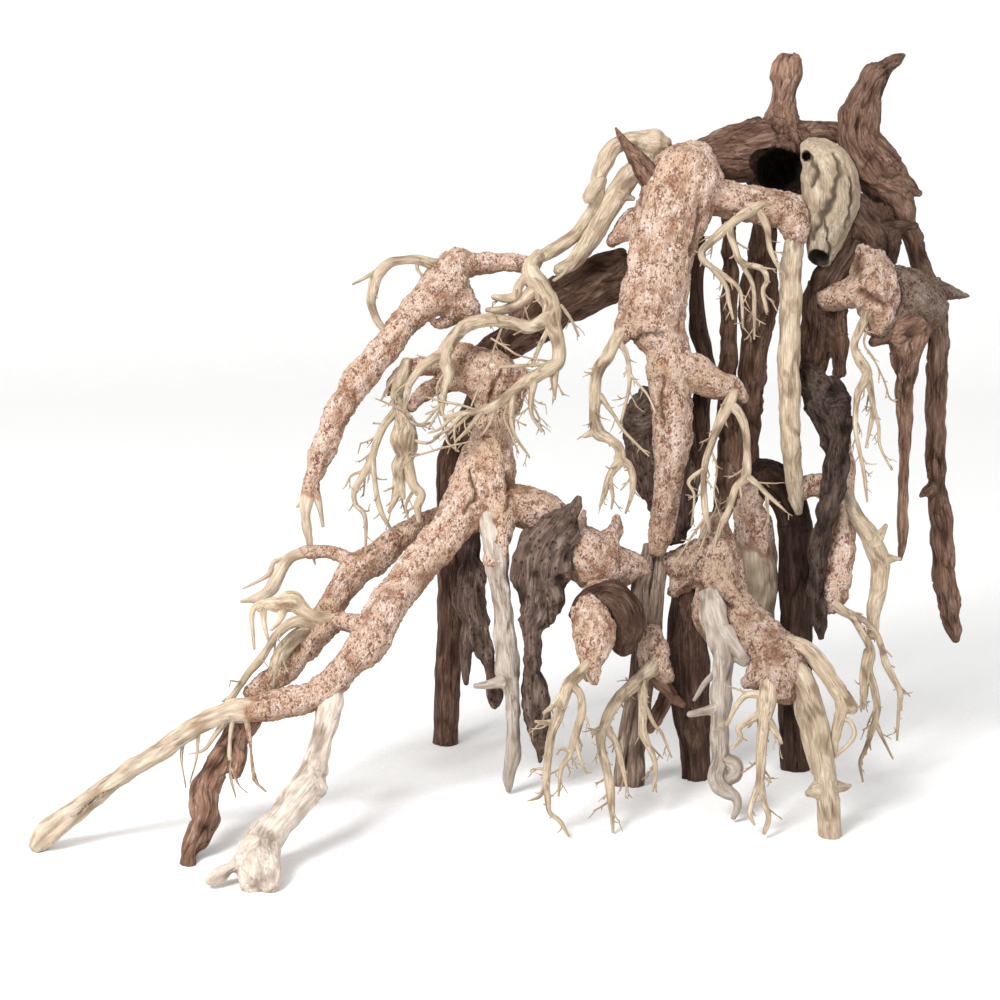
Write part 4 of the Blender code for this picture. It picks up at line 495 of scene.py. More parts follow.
PIECES["spray_trunk_right"] = ("pale_root", [
    (ROOT, [(164, 76, -33, 5), (160, 67, -33, 6), (153, 53, -33, 5.1), (147.5, 38, -33, 4.2),
            (143.5, 25, -33, 3.7), (142.5, 8, -32, 3.6), (144, -9, -30, 3.4), (146, -22, -27, 2.8)]),
    (ROOT, [(161, 67, -33, 5.5), (168, 60, -33, 4.8), (172, 47, -33, 4.3), (173, 31, -33, 4),
            (172, 17, -32, 4.8), (165, 8, -31, 4.1), (161, -4, -30, 3.3), (156, -16, -28, 3),
            (151, -27, -26, 2.4)]),
    (TWIG, [(171, 18, -32, 4), (181, 10, -33, 3.3), (188, 3, -33, 2.6), (200, -8, -33, 1.1)]),
    (TWIG, [(143, 22, -33, 3), (132, 13, -34, 2), (136, 3, -34, 1.5), (134, -18, -33, .9)]),
    (TWIG, [(187, 4, -33, 2), (188, -15, -33, 1)]),
])
PIECES["straight_root"] = ("pale_root", [
    (LIMB, [(208, 192, -4, 6), (204, 165, -7, 7.5), (203.5, 140, -8, 7.6), (202.5, 110, -8, 7.7),
            (202.5, 80, -7, 7.5), (203, 55, -4, 7.2), (204, 34, 0, 6.8), (206, 14, 7, 6),
            (208, -2, 14, 4.5), (209, -9, 18, 2.5)]),
])
PIECES["spike_root"] = ("weathered_wood", [
    (LIMB, [(286, 140, 5, 12), (286, 130, 2, 16), (285, 119, 0, 16), (284.5, 108, 0, 13),
            (284, 96, 0, 9.8), (284, 84, 1, 7.4), (283.5, 68, 3, 5.6), (283.5, 50, 6, 4.6),
            (283, 30, 10, 4.2), (282, 8, 14, 3.9), (281.5, -12, 18, 3.8), (281.5, -29, 21, 3.3),
            (280, -42, 23, 1.4)]),
    (TWIG, [(284, 120, -2, 8), (272, 113, -2, 5), (262, 111, -2, 4)]),
])
PIECES["spray_right"] = ("pale_root", [
    (ROOT, [(257, 130, -11, 5), (252, 120, -12, 5), (248, 108, -13, 3.9), (252, 98, -14, 5.5),
            (257, 88, -15, 5), (251, 76, -15, 3.9), (249, 63, -16, 3), (249, 48, -16, 2.4),
            (252, 33, -16, 2.2), (255, 17, -16, 2), (257, -1, -16, 1.1)]),
    (TWIG, [(257, 88, -15, 4.6), (260, 74, -15, 3.4), (261, 62, -16, 2.8), (259, 50, -16, 2.2),
            (256, 37, -16, 1.1)]),
    (TWIG, [(261, 66, -16, 2.6), (265, 52, -17, 1.9), (266, 38, -17, 1.6), (274, 21, -17, .9)]),
])
PIECES["curved_root"] = ("pale_root", [
    (ROOT, [(240, 6, 8, 6), (247, -8, 6, 5.8), (254, -18, 4, 6), (260, -28, 3, 6.6), (265, -40, 2, 7),
            (266, -54, 1, 6.2), (264, -67, 0, 5.8), (261.5, -80, 0, 4.8), (261, -94, -1, 3.6)]),
    (TWIG, [(262, -30, 2, 5), (266, -25, 1, 3.4), (270, -18, 0, 1.6)]),
    (TWIG, [(268, -41, 1, 5), (274, -41, 0, 3), (280, -41, 0, 1)]),
])
PIECES["spray_far_right"] = ("pale_root", [
    (ROOT, [(231, -70, 0, 5), (239, -77, -2, 5), (247, -82, -3, 4.3), (252, -90, -4, 3.9),
            (257, -99, -4, 4), (260, -108, -4, 4), (258, -119, -4, 4.1), (262, -132, -4, 4),
            (264, -146, -4, 3.9), (261, -160, -4, 3.1), (256, -174, -4, 2.6), (252, -184, -4, 1.9),
            (254, -197, -4, 1)]),
    (ROOT, [(245, -79, -3, 3.6), (256, -85, -5, 3.3), (263, -93, -6, 3.3), (267, -103, -6, 3.3),
            (270, -114, -6, 3.6), (275, -124, -6, 3.4), (280, -135, -6, 3), (279, -149, -6, 2),
            (278, -168, -5, 1.1)]),
    (ROOT, [(257, -106, -4, 4), (255, -120, -2, 4.6), (255, -133, 0, 4.2), (254, -145, 1, 2.6)]),
    (TWIG, [(263, -156, -4, 3), (267, -165, -4, 2), (275, -181, -4, .9)]),
])


# Routes of thin twigs that are too fine for the solids, and the pieces they grow from
FINE_GROWTH = {
    "hub_roots": [
        [(38, 154, -4, 1.2), (44, 158, -4, 1.1), (48.5, 164, -4, 0.8)],
        [(43, 136, -8, 1.2), (50, 126, -8, 1.1), (55, 115, -8, 0.8)],
        [(0, 93, -15, 1.2), (16, 94, -16, 1.3), (32, 95, -16, 1.2)],
        [(-12, 62, -20, 1.6), (-18, 54, -21, 1.1), (-24, 47, -21, 0.7)],
        [(-4, 66, -19, 1.6), (-6, 56, -19, 1.2), (-12, 46, -20, 0.7)],
        [(-20, 61, -20, 1.4), (-30, 52, -20, 1.1), (-36, 46, -21, 0.7)],
        [(-32, 59, -20, 1.5), (-42, 50, -20, 1.1), (-50, 47, -21, 0.7)],
        [(-40, 66, -17, 1.4), (-46, 57, -18, 1.0), (-50, 50, -18, 0.7)],
        [(-41, 64, -18, 1.2), (-38, 52, -19, 0.9), (-37, 41, -20, 0.8), (-29, 34, -20, 0.6)],
        [(-29, 60, -20, 1.2), (-32, 50, -21, 0.9), (-31, 35, -21, 0.6)],
        [(-20, 41, -21, 0.7), (-38, 37, -21, 0.8), (-62, 30, -20, 0.6)],
        [(-38, 72, -17, 1.1), (-55, 53, -18, 0.9), (-66, 62, -18, 0.8), (-87, 71, -16, 0.6)],
        [(1, 120, -10, 0.9), (-8, 96, -20, 0.8), (-20, 66, -20, 0.7)],
        [(-6, 113, -14, 0.8), (4, 107, -16, 0.8), (14, 101, -16, 0.7), (34, 97, -15, 0.8)],
        [(19, 80, -17, 1.1), (22, 68, -18, 0.9), (27, 58, -19, 0.8), (28, 49, -19, 0.6)],
        [(35, 92, -16, 1.0), (36, 82, -17, 0.8), (38, 73, -17, 0.6)],
        [(10, 76, -18, 1.0), (3, 60, -19, 0.9), (7, 48, -20, 0.8), (13, 33, -20, 0.6)],
        [(-36, 92, -14, 1.2), (-44, 80, -16, 0.9), (-43, 66, -17, 0.8), (-52, 60, -17, 0.6)],
        [(-14, 62, -20, 1.2), (-26, 66, -20, 0.9), (-40, 69, -19, 0.8), (-52, 72, -18, 0.6)],
        [(-62, 84, -18, 1.0), (-72, 76, -16, 0.8), (-78, 66, -15, 0.6)],
    ],
    "tan_knot_root": [
        [(-70, 88, -6, 1.4), (-78, 80, -8, 1.0), (-83, 70, -9, 0.7)],
        [(-68, 58, -12, 1.4), (-56, 52, -14, 1.0), (-46, 55, -15, 0.7)],
        [(-62, 42, -16, 1.4), (-50, 40, -17, 1.0), (-40, 47, -18, 0.7)],
        [(-96, 20, -18, 1.2), (-104, 17, -19, 0.9), (-108, 10, -20, 0.6)],
        [(-60, 8, -14, 1.4), (-66, -4, -15, 1.0), (-64, -14, -15, 0.7)],
    ],
    "loop_root": [
        [(-57, 167, -1, 1.6), (-58, 162, -1, 1.3), (-53, 155, 0, 0.8)],
    ],
    "spray_right": [
        [(257, 120, -12, 1.6), (255, 109, -13, 1.2), (263, 96, -14, 1.0), (269, 83, -15, 0.9),
         (273, 71, -15, 0.8), (278, 70, -15, 0.6)],
    ],
    "spray_trunk_left": [
        [(89, 92, -29, 1.6), (94, 84, -31, 1.2), (103, 74, -36, 1.0), (109, 61, -40, 0.7)],
    ],
    "spray_trunk_right": [
        [(147, 36, -33, 1.6), (152, 22, -34, 1.1), (150, 4, -32, 0.8), (155, -14, -29, 0.6)],
        [(161, -4, -30, 1.8), (154, -16, -29, 1.3), (150, -34, -27, 0.8)],
        [(144, -12, -30, 1.8), (134, -26, -28, 1.2), (124, -42, -26, 0.8)],
        [(146, -16, -29, 1.6), (141, -32, -28, 1.1), (132, -50, -26, 0.7)],
    ],
}

# Creases in the front of a piece, with their widths
CREASES = {
    "knuckle": [
        [(234, 243, -14, 1.2), (238, 231, -16, 2.0), (236, 222, -18, 2.2), (231, 208, -20, 2.4),
         (224, 193, -17, 2.2), (219, 183, -14, 1.6)],
        [(217, 240, -8, 1.6), (221, 229, -14, 1.8), (218, 219, -14, 1.2)],
        [(243, 226, -12, 1.0), (246, 208, -14, 1.2), (242, 190, -12, 0.9)],
        [(228, 196, -18, 0.9), (230, 182, -16, 1.2), (231, 172, -10, 1.4)],
    ],
    "trunk_limb": [
        [(94, 112, -30, 1.5), (104, 115.5, -38, 1.6), (115, 117, -38, 0.9)],
        [(141, 205, -22, 1.4), (138, 188, -24, 1.8), (134, 172, -26, 1.2)],
        [(102, 236, -16, 1.0), (99, 222, -20, 1.4), (97, 208, -20, 1.0)],
        [(114, 88, -36, 1.0), (112, 70, -36, 1.5), (114, 52, -36, 1.0)],
    ],
    "right_body": [
        [(243, 176, -10, 3.5), (248, 168, -10, 4.0), (250, 158, -10, 3.0)],
        [(252, 146, -14, 2.0), (262, 141, -16, 2.2), (270, 136, -14, 1.8)],
    ],
    "dark_joint": [
        [(275, 156, -14, 2.2), (278, 146, -16, 3.0), (277, 132, -14, 2.4)],
    ],
    "long_limb": [
        [(2, 90, -6, 1.2), (-6, 76, -8, 1.8), (-10, 58, -6, 1.2)],
        [(-22, 22, -18, 1.2), (-18, 6, -30, 1.6), (-24, -8, -36, 1.2)],
        [(4, 20, -18, 1.5), (8, 6, -22, 2.0), (4, -8, -28, 1.4)],
        [(-266, -199, -120, 0.5), (-284, -211, -124, 0.7), (-300, -223, -128, 0.5)],
    ],
    "centre_body": [
        [(140, -62, -32, 2.0), (150, -70, -34, 2.5), (160, -72, -36, 1.8)],
    ],
}

# Pieces whose runs are fused into one skin, and the size of its cells in millimetres
SKIN_CELL = {
    "trunk_limb": 1.0, "long_limb": 1.0, "bridge_body": 0.9, "centre_body": 0.9, "stake_lobe": 0.8,
    "front_lobe": 0.8, "second_limb": 0.9, "upper_left_limb": 0.9, "right_body": 0.8,
    "dark_joint": 0.8, "right_lower_limb": 0.8, "grit_bar": 0.8, "beam": 0.9, "crown_log": 0.8,
    "horn_root": 0.9, "knuckle": 0.8, "dark_knot": 0.8, "post_right": 0.9, "grey_slab": 0.8,
    "wide_brown_piece": 0.8, "lower_grey_root": 0.8, "driftwood_plate": 0.8, "pale_foot": 0.8,
    "dark_foot": 0.8, "spike_root": 0.7, "front_root": 0.7, "foot_root": 0.7, "pale_strut": 0.7,
    "grey_stub": 0.7, "bark_cap": 0.8, "pale_branch_upper": 0.7, "pale_branch_lower": 0.7,
    "curved_root": 0.6, "dark_stub": 0.6, "loop_root": 0.6, "bulb_root": 0.6, "green_arm": 0.6,
}
GRIT_SOFTENING = 8
WOOD_SOFTENING = 3

# Share of the faces that stays once the relief is on, so that all the pieces together have
# fewer than a million triangles
FACES_KEPT = 0.41

# Mean radius from which a twig is fused into its piece's skin, in millimetres
STOUT_TWIG = 3.2

# Distance between the rings of a run, and width of its sides, in millimetres
RING_STEP = {LIMB: 1.1, ROOT: 1.1, TWIG: 1.5}
SIDE_WIDTH = 0.95
FEWEST_SIDES = 7
MOST_SIDES = 64

# Rings that round off the end of a run: share of its radius, and reach in radii, of which a
# limb takes only a share
END_RINGS = ((0.97, 0.30), (0.82, 0.60), (0.50, 0.88), (0.16, 1.0))
LIMB_END_REACH = 0.45

# Depth of a crease, how ragged the edge of the grit coat is, and how far bare wood lies under
# the coat, in millimetres
CREASE_DEPTH = 2.2
COAT_RAGGED = 7.0
COAT_THICK = 0.6

# How light each piece is beside others of its wood, at its foot and at its head
TONES = {
    "post_left": (1.05, 1.05), "post_mid": (0.70, 0.62), "post_right": (0.52, 0.34),
    "stake_left": (2.3, 2.0), "stake_right": (2.3, 2.0), "dark_strand": (0.7, 0.6),
    "beam": (0.85, 0.6), "crown_log": (0.55, 1.35), "horn_root": (0.92, 0.85),
    "dark_knot": (0.45, 0.45), "thorn": (1.0, 1.2), "brown_post_right": (0.72, 0.8),
    "brown_post_mid": (0.8, 1.0), "grey_slab": (0.85, 0.75), "wide_brown_piece": (0.7, 0.6),
    "lower_grey_root": (0.48, 0.36), "spike_root": (1.15, 1.0), "dark_foot": (0.95, 1.75),
    "grey_stub": (0.8, 0.9), "driftwood_plate": (0.75, 0.95), "bark_cap": (0.8, 0.8),
    "dark_stub": (1.0, 1.0), "log_back": (0.85, 1.8), "knuckle": (0.68, 0.9),
    "straight_root": (1.12, 1.0), "pale_strut": (0.62, 0.85), "dark_joint": (0.34, 0.30),
    "right_body": (0.95, 0.75), "grit_bar": (0.9, 0.9), "upper_left_limb": (0.98, 1.02),
    "trunk_limb": (0.76, 1.06), "centre_body": (0.74, 0.80), "front_lobe": (0.96, 1.0),
    "bridge_body": (0.88, 0.88),
    "front_root": (0.62, 0.70), "bulb_root": (1.25, 1.25), "long_limb": (1.0, 1.10),
    "foot_root": (0.90, 0.92),
}

# How thick the twigs of a spray are beside their written radii
FINENESS = {
    "spray_front_left": 0.7, "spray_front_mid": 0.74, "spray_trunk_left": 0.85,
    "spray_trunk_right": 0.66, "spray_right": 0.68, "spray_far_right": 0.7, "side_roots": 0.85,
}

# Sprays that carry random spurs: one every so many millimetres of twig
SPUR_EVERY = {
    "spray_front_left": 6.0, "spray_front_mid": 6.5, "spray_trunk_left": 7.0, "spray_bar": 6.5,
    "spray_trunk_right": 7.0, "spray_right": 7.0, "spray_far_right": 9.0, "hub_roots": 7.0,
    "tan_knot_root": 9.0, "twig_root": 8.0, "loop_root": 20.0, "side_roots": 9.0,
}

# How strongly pale surfaces and dark, dull ones mirror the light
PLAIN_SPECULAR = 0.25
DULL_SPECULAR = 0.12

# The round floor: its sides, its paleness, and the reach and height of its rim in metres
STAGE_SIDES = 72
STAGE_PALE = (0.93, 0.93, 0.93)
STAGE_RIM = [(0.0, 0.0), (2.10, 0.0), (2.25, 0.02), (2.40, 0.09), (2.50, 0.22), (2.55, 0.40), (2.56, 1.40)]

# The light: brightness of the world, and each lamp's place, size in metres, watts and colour
WORLD_LIGHT = 0.76
LAMP_TARGET = (0.0, 0.0, 0.22)
LAMPS = {
    "key": ((-1.1, -1.2, 1.7), 0.8, 48.0, (1.0, 0.99, 0.97)),
    "fill": ((1.3, -1.3, 0.9), 1.2, 6.0, (1.0, 1.0, 1.0)),
}

# The lens and the width of the picture behind it, in millimetres
LENS = 72.0
PICTURE_WIDTH = 36.0

# Where the grit coat ends and the wood is bare: beyond a place across or below a height,
# and nowhere lower than the last number
BARE_ENDS = {
    "long_limb": ("across", -176.0, -186.0, 0.0),
    "upper_left_limb": ("height", 210.0, 203.0, 0.0),
    "second_limb": ("across", -150.0, -156.0, 115.0),
    "log_back": ("height", 160.0, 150.0, 0.0),
}


def place(route):
    """Real places in millimetres, and radii, of points on the drawing plane."""
    tilt = math.radians(SIGHT_TILT)
    forward = np.array((0.0, math.cos(tilt), -math.sin(tilt)))
    upward = np.array((0.0, math.sin(tilt), math.cos(tilt)))
    across, up, back, radius = np.array(route, dtype=float).T
    scale = (PLANE_DISTANCE + back) / PLANE_DISTANCE
    eye = np.array((0.0, 0.0, PLANE_CENTRE_HEIGHT)) - forward * PLANE_DISTANCE
    ray = forward * PLANE_DISTANCE + np.outer(across, (1.0, 0.0, 0.0)) + np.outer(up, upward)
    spots = eye + ray * scale[:, None] - np.array((MIDDLE_ACROSS, MIDDLE_BACK, 0.0))
    return np.column_stack([spots, radius * scale])


def smooth_route(knots, per_span=12):
    """Close samples of the smooth curve through knots (x, y, z, radius)."""
    padded = np.vstack([2 * knots[0] - knots[1], knots, 2 * knots[-1] - knots[-2]])
    share = np.linspace(0.0, 1.0, per_span, endpoint=False)[:, None]
    spans = []
    for index in range(1, len(padded) - 2):
        before, start, end, after = padded[index - 1:index + 3]
        spans.append(0.5 * (2.0 * start + (end - before) * share
                            + (2.0 * before - 5.0 * start + 4.0 * end - after) * share ** 2
                            + (3.0 * start - before - 3.0 * end + after) * share ** 3))
    samples = np.vstack(spans + [padded[-2][None, :]])
    samples[:, 3] = np.maximum(samples[:, 3], 0.5 * knots[:, 3].min())
    return samples


def even_rings(samples, step):
    """Distances along a curve and rings on it, an even step apart."""
    gaps = np.linalg.norm(np.diff(samples[:, :3], axis=0), axis=1)
    travelled = np.concatenate([[0.0], np.cumsum(gaps)])
    count = max(5, int(travelled[-1] / step) + 1)
    along = np.linspace(0.0, travelled[-1], count)
    rings = np.column_stack([np.interp(along, travelled, samples[:, column]) for column in range(4)])
    return along, rings


def frames_along(centres):
    """Forward, sideways and depthways directions at each centre, without twist."""
    forward = np.gradient(centres, axis=0)
    forward /= np.linalg.norm(forward, axis=1)[:, None]
    sideways = np.zeros_like(forward)
    guide = np.array((1.0, 0.0, 0.0)) if abs(forward[0][0]) < 0.9 else np.array((0.0, 0.0, 1.0))
    for index, direction in enumerate(forward):
        guide = guide - direction * guide.dot(direction)
        guide /= np.linalg.norm(guide)
        sideways[index] = guide
    return forward, sideways, np.cross(forward, sideways)


class Strand:
    """One run of a piece: its rings, their frames and how far along each one is."""

    def __init__(self, knots, kind, depth_share=1.0):
        self.kind = kind
        self.depth_share = depth_share
        around = 2.0 * math.pi * knots[:, 3].max()
        self.along, self.rings = even_rings(smooth_route(knots), RING_STEP[kind])
        self.sides = int(min(MOST_SIDES, max(FEWEST_SIDES, around / SIDE_WIDTH)))
        self.forward, self.sideways, self.depthways = frames_along(self.rings[:, :3])

    def loft(self):
        """Vertices and faces of a closed tube with rounded ends."""
        turns = np.linspace(0.0, 2.0 * math.pi, self.sides, endpoint=False)
        loops = []
        for index, (x, y, z, radius) in self.with_caps():
            out = self.sideways[index][None, :] * np.cos(turns)[:, None]
            deep = self.depthways[index][None, :] * np.sin(turns)[:, None] * self.depth_share
            loops.append(np.array((x, y, z)) + radius * (out + deep))
        verts = np.vstack(loops)
        faces = []
        for row in range(len(loops) - 1):
            low = row * self.sides
            high = low + self.sides
            for side in range(self.sides):
                following = (side + 1) % self.sides
                faces.append((low + side, low + following, high + following, high + side))
        faces.append(tuple(reversed(range(self.sides))))
        faces.append(tuple(range(len(verts) - self.sides, len(verts))))
        return verts, faces

    def own_grain(self):
        """The grain and the radius at each vertex of the loft, in the loft's order."""
        turns = np.linspace(0.0, 2.0 * math.pi, self.sides, endpoint=False)
        grain, radii = [], []
        for index, (_, _, _, radius) in self.with_caps():
            grain.append(np.column_stack([radius * np.cos(turns), radius * np.sin(turns),
                                          np.full(self.sides, self.along[index])]))
            radii.append(np.full(self.sides, self.rings[index][3]))
        return np.vstack(grain), np.concatenate(radii)

    def with_caps(self):
        """Ring indices and rings, with smaller ones that round off both ends."""
        first, last = self.rings[0], self.rings[-1]
        full = LIMB_END_REACH if self.kind == LIMB else 1.0
        listed = []
        for shrink, reach in reversed(END_RINGS):
            centre = first[:3] - self.forward[0] * reach * first[3] * full
            listed.append((0, (*centre, first[3] * shrink)))
        listed += [(index, tuple(ring)) for index, ring in enumerate(self.rings)]
        for shrink, reach in END_RINGS:
            centre = last[:3] + self.forward[-1] * reach * last[3] * full
            listed.append((-1, (*centre, last[3] * shrink)))
        return listed


def spurs(strands, every, chance, level=2):
    """Short random twiglets on a spray, leaning out and down from the twigs they grow on."""
    grown = []
    for strand in strands:
        if strand.rings[:, 3].min() > 3.0:
            continue
        spot = every * chance.uniform(0.6, 1.4)
        while spot < strand.along[-1] * 0.97:
            index = int(np.searchsorted(strand.along, spot))
            centre, radius = strand.rings[index, :3], strand.rings[index, 3]
            turn = chance.uniform(0.0, 2.0 * math.pi)
            out = strand.sideways[index] * math.cos(turn) + strand.depthways[index] * math.sin(turn)
            lean = strand.forward[index] * 0.7 + out * 0.9 + np.array((0.0, 0.0, -0.35))
            lean /= np.linalg.norm(lean)
            length = chance.uniform(4.0, 14.0) * min(1.0, 0.45 + radius / 4.0)
            thick = min(1.0, max(0.5, radius * 0.42))
            bend = np.array([chance.uniform(-0.45, 0.45) for _ in range(3)])
            knots = [np.append(centre + lean * length * share + bend * length * share ** 2,
                               thick * (1.0 - 0.5 * share)) for share in (0.0, 0.4, 0.75, 1.0)]
            grown.append(Strand(np.array(knots), TWIG))
            spot += every * chance.uniform(0.6, 1.6)
    if level > 1:
        long_ones = [strand for strand in grown if strand.along[-1] > 8.0]
        grown += spurs(long_ones, 5.5, chance, level - 1)
    return grown


def mesh_of(name, shells):
    """One mesh from several shells of vertices in millimetres and faces."""
    verts, faces, offset = [], [], 0
    for shell_verts, shell_faces in shells:
        verts.append(shell_verts)
        faces += [tuple(index + offset for index in face) for face in shell_faces]
        offset += len(shell_verts)
    mesh = bpy.data.meshes.new(name)
    mesh.from_pydata((np.vstack(verts) * MM).tolist(), [], faces)
    mesh.update()
    return mesh


def new_object(name, mesh):
    """An object for a mesh, linked to the scene."""
    item = bpy.data.objects.new(name, mesh)
    bpy.context.scene.collection.objects.link(item)
    return item


def apply_modifiers(item):
    """Take an object's modified shape as its mesh."""
    depsgraph = bpy.context.evaluated_depsgraph_get()
    result = bpy.data.meshes.new_from_object(item.evaluated_get(depsgraph))
    item.modifiers.clear()
    old = item.data
    item.data = result
    bpy.data.meshes.remove(old)


def add_skin(item, cell):
    """A voxel skin over everything in an object."""
    modifier = item.modifiers.new("skin", "REMESH")
    modifier.mode = "VOXEL"
    modifier.voxel_size = cell * MM
    modifier.adaptivity = 0.0


def fuse(item, hollows, cell, softening):
    """Fuse a piece's runs into one skin, cut its hollows out, and soften the joins."""
    add_skin(item, cell)
    cutters = []
    for strand in hollows:
        cutter = new_object("hollow", mesh_of("hollow", [strand.loft()]))
        modifier = item.modifiers.new("hollow", "BOOLEAN")
        modifier.object = cutter
        modifier.operation = "DIFFERENCE"
        modifier.solver = "EXACT"
        cutters.append(cutter)
    if cutters:
        add_skin(item, cell)
    soften = item.modifiers.new("soften", "SMOOTH")
    soften.factor = 0.5
    soften.iterations = softening
    apply_modifiers(item)
    for cutter in cutters:
        bpy.data.objects.remove(cutter)


def read_verts(mesh):
    """A mesh's points and normals, in millimetres."""
    points = np.empty(len(mesh.vertices) * 3)
    normals = np.empty(len(mesh.vertices) * 3)
    mesh.vertices.foreach_get("co", points)
    mesh.vertex_normals.foreach_get("vector", normals)
    return points.reshape(-1, 3) / MM, normals.reshape(-1, 3)


def grain_of(points, strands):
    """Where each point lies in the wood: across it, through it, along it, and the radius there."""
    rows = [(strand, index) for strand in strands for index in range(len(strand.rings))]
    tree = KDTree(len(rows))
    for number, (strand, index) in enumerate(rows):
        tree.insert(strand.rings[index, :3].tolist(), number)
    tree.balance()
    centres = np.array([strand.rings[index] for strand, index in rows])
    forward = np.array([strand.forward[index] for strand, index in rows])
    sideways = np.array([strand.sideways[index] for strand, index in rows])
    depthways = np.array([strand.depthways[index] for strand, index in rows])
    along = np.array([strand.along[index] for strand, index in rows])
    nearest = np.fromiter((tree.find(point)[1] for point in points.tolist()), int, len(points))
    offset = points - centres[nearest, :3]
    grain = np.column_stack([
        np.einsum("ij,ij->i", offset, sideways[nearest]),
        np.einsum("ij,ij->i", offset, depthways[nearest]),
        along[nearest] + np.einsum("ij,ij->i", offset, forward[nearest]),
    ])
    return grain, centres[nearest, 3]


def rough(places, *sizes):
    """Smooth noise, about -1 to 1, at places in millimetres with features of the sizes given."""
    spread = np.array(sizes) if len(sizes) == 3 else np.full(3, sizes[0])
    return 1.6 * np.fromiter((noise.noise(spot) for spot in (places / spread).tolist()), float, len(places))


def granules(points, size):
    """Rounded grains of a size: 1 in the middle of each and 0 at its edge."""
    found = np.fromiter((noise.voronoi(spot)[0][0] for spot in (points / size).tolist()), float, len(points))
    return 1.0 - np.clip(found * 1.5, 0.0, 1.0)


def relief_of(slot, points, grain, radius):
    """How far, in millimetres, each point of a surface stands out from its plain form."""
    slim = np.clip(radius / 7.0, 0.12, 1.0)
    bent = grain + np.column_stack([5.0 * rough(points, 19.0), 5.0 * rough(points + 60.0, 19.0),
                                    np.zeros(len(points))])
    if slot == "wood_grit":
        lumps = 1.2 * rough(points, 17.0) + 0.6 * rough(points + 40.0, 7.0)
        folds = 0.9 * rough(bent, 5.0, 5.0, 30.0)
        pits = -2.0 * np.clip(granules(points + 15.0, 8.0) - 0.48, 0.0, 0.5)
        coat = 0.55 * granules(points, 2.2) + 0.35 * rough(points, 2.8) - 0.3
        return (lumps + folds + pits) * np.clip(radius / 9.0, 0.3, 1.0) + coat
    if slot == "dark_hardwood":
        split = -1.3 * np.exp(-(rough(grain + 12.0, 9.0, 9.0, 120.0) / 0.07) ** 2)
        return slim * (0.8 * rough(bent, 7.0, 7.0, 60.0) + 0.45 * rough(grain, 2.3, 2.3, 26.0)
                       + 0.8 * rough(points, 16.0) + split)
    if slot == "weathered_wood":
        folds = 1.2 * rough(bent, 8.0, 8.0, 34.0) + 1.4 * rough(points, 13.0)
        grooves = -1.3 * np.exp(-(rough(bent + 30.0, 8.0, 8.0, 46.0) / 0.10) ** 2)
        return slim * (folds + 0.45 * rough(bent, 2.4, 2.4, 12.0) + grooves)
    if slot == "grey_driftwood":
        folds = 1.5 * rough(bent, 8.0, 8.0, 24.0) + 1.7 * rough(points, 11.0)
        pits = -2.6 * np.clip(granules(points, 9.0) - 0.42, 0.0, 0.5)
        return slim * (folds + 0.7 * rough(bent, 2.4, 2.4, 11.0) + pits)
    if slot == "bleached_wood":
        return slim * (0.8 * rough(bent, 4.5, 4.5, 30.0) + 0.4 * rough(grain, 2.0, 2.0, 16.0)
                       + 1.0 * rough(points, 12.0))
    knots = 1.6 * np.clip(granules(points + 9.0, 15.0) - 0.6, 0.0, 0.4)
    return slim * (0.7 * rough(points, 12.0) + 0.5 * rough(bent, 2.8, 2.8, 20.0) + knots)


def bare_share(name, points):
    """How bare of grit each point is, from 0, coated, to 1."""
    if name not in BARE_ENDS:
        return np.zeros(len(points))
    kind, start, end, lowest = BARE_ENDS[name]
    measure = points[:, 0] if kind == "across" else points[:, 2]
    ragged = measure + COAT_RAGGED * rough(points, 9.0)
    return np.clip((ragged - start) / (end - start), 0.0, 1.0) * (points[:, 2] > lowest)


def write_attribute(mesh, name, kind, values):
    """Store a number or vector for each point of a mesh."""
    layer = mesh.attributes.new(name, kind, "POINT")
    field = "vector" if kind == "FLOAT_VECTOR" else "value"
    layer.data.foreach_set(field, np.asarray(values, dtype=np.float32).ravel())


def painted_hollow_shade(points, hollows):
    """Painted shade in hollows: how light each point stays, nearly black on the wall of a hollow, and 1
    outside it.
    """
    light = np.ones(len(points))
    for strand in hollows:
        for x, y, z, radius in strand.rings[::3]:
            away = np.linalg.norm(points - (x, y, z), axis=1) / radius
            light = np.minimum(light, np.clip((away - 1.0) / 0.16, 0.10, 1.0))
    return light


def crease_share(name, points, normals):
    """How near each point of a piece's front is to its creases, from 0 to 1."""
    near = np.zeros(len(points))
    if name not in CREASES:
        return near
    across = points[:, 0] + 1.5 * rough(points + 5.0, 7.0)
    height = points[:, 2] + 1.5 * rough(points + 25.0, 7.0)
    for crease in CREASES[name]:
        for x, _, z, width in Strand(place(crease), TWIG).rings:
            away = ((across - x) ** 2 + (height - z) ** 2) / width ** 2
            near = np.maximum(near, np.exp(-away))
    return near * np.clip(0.35 - normals[:, 1] * 1.5, 0.0, 1.0)


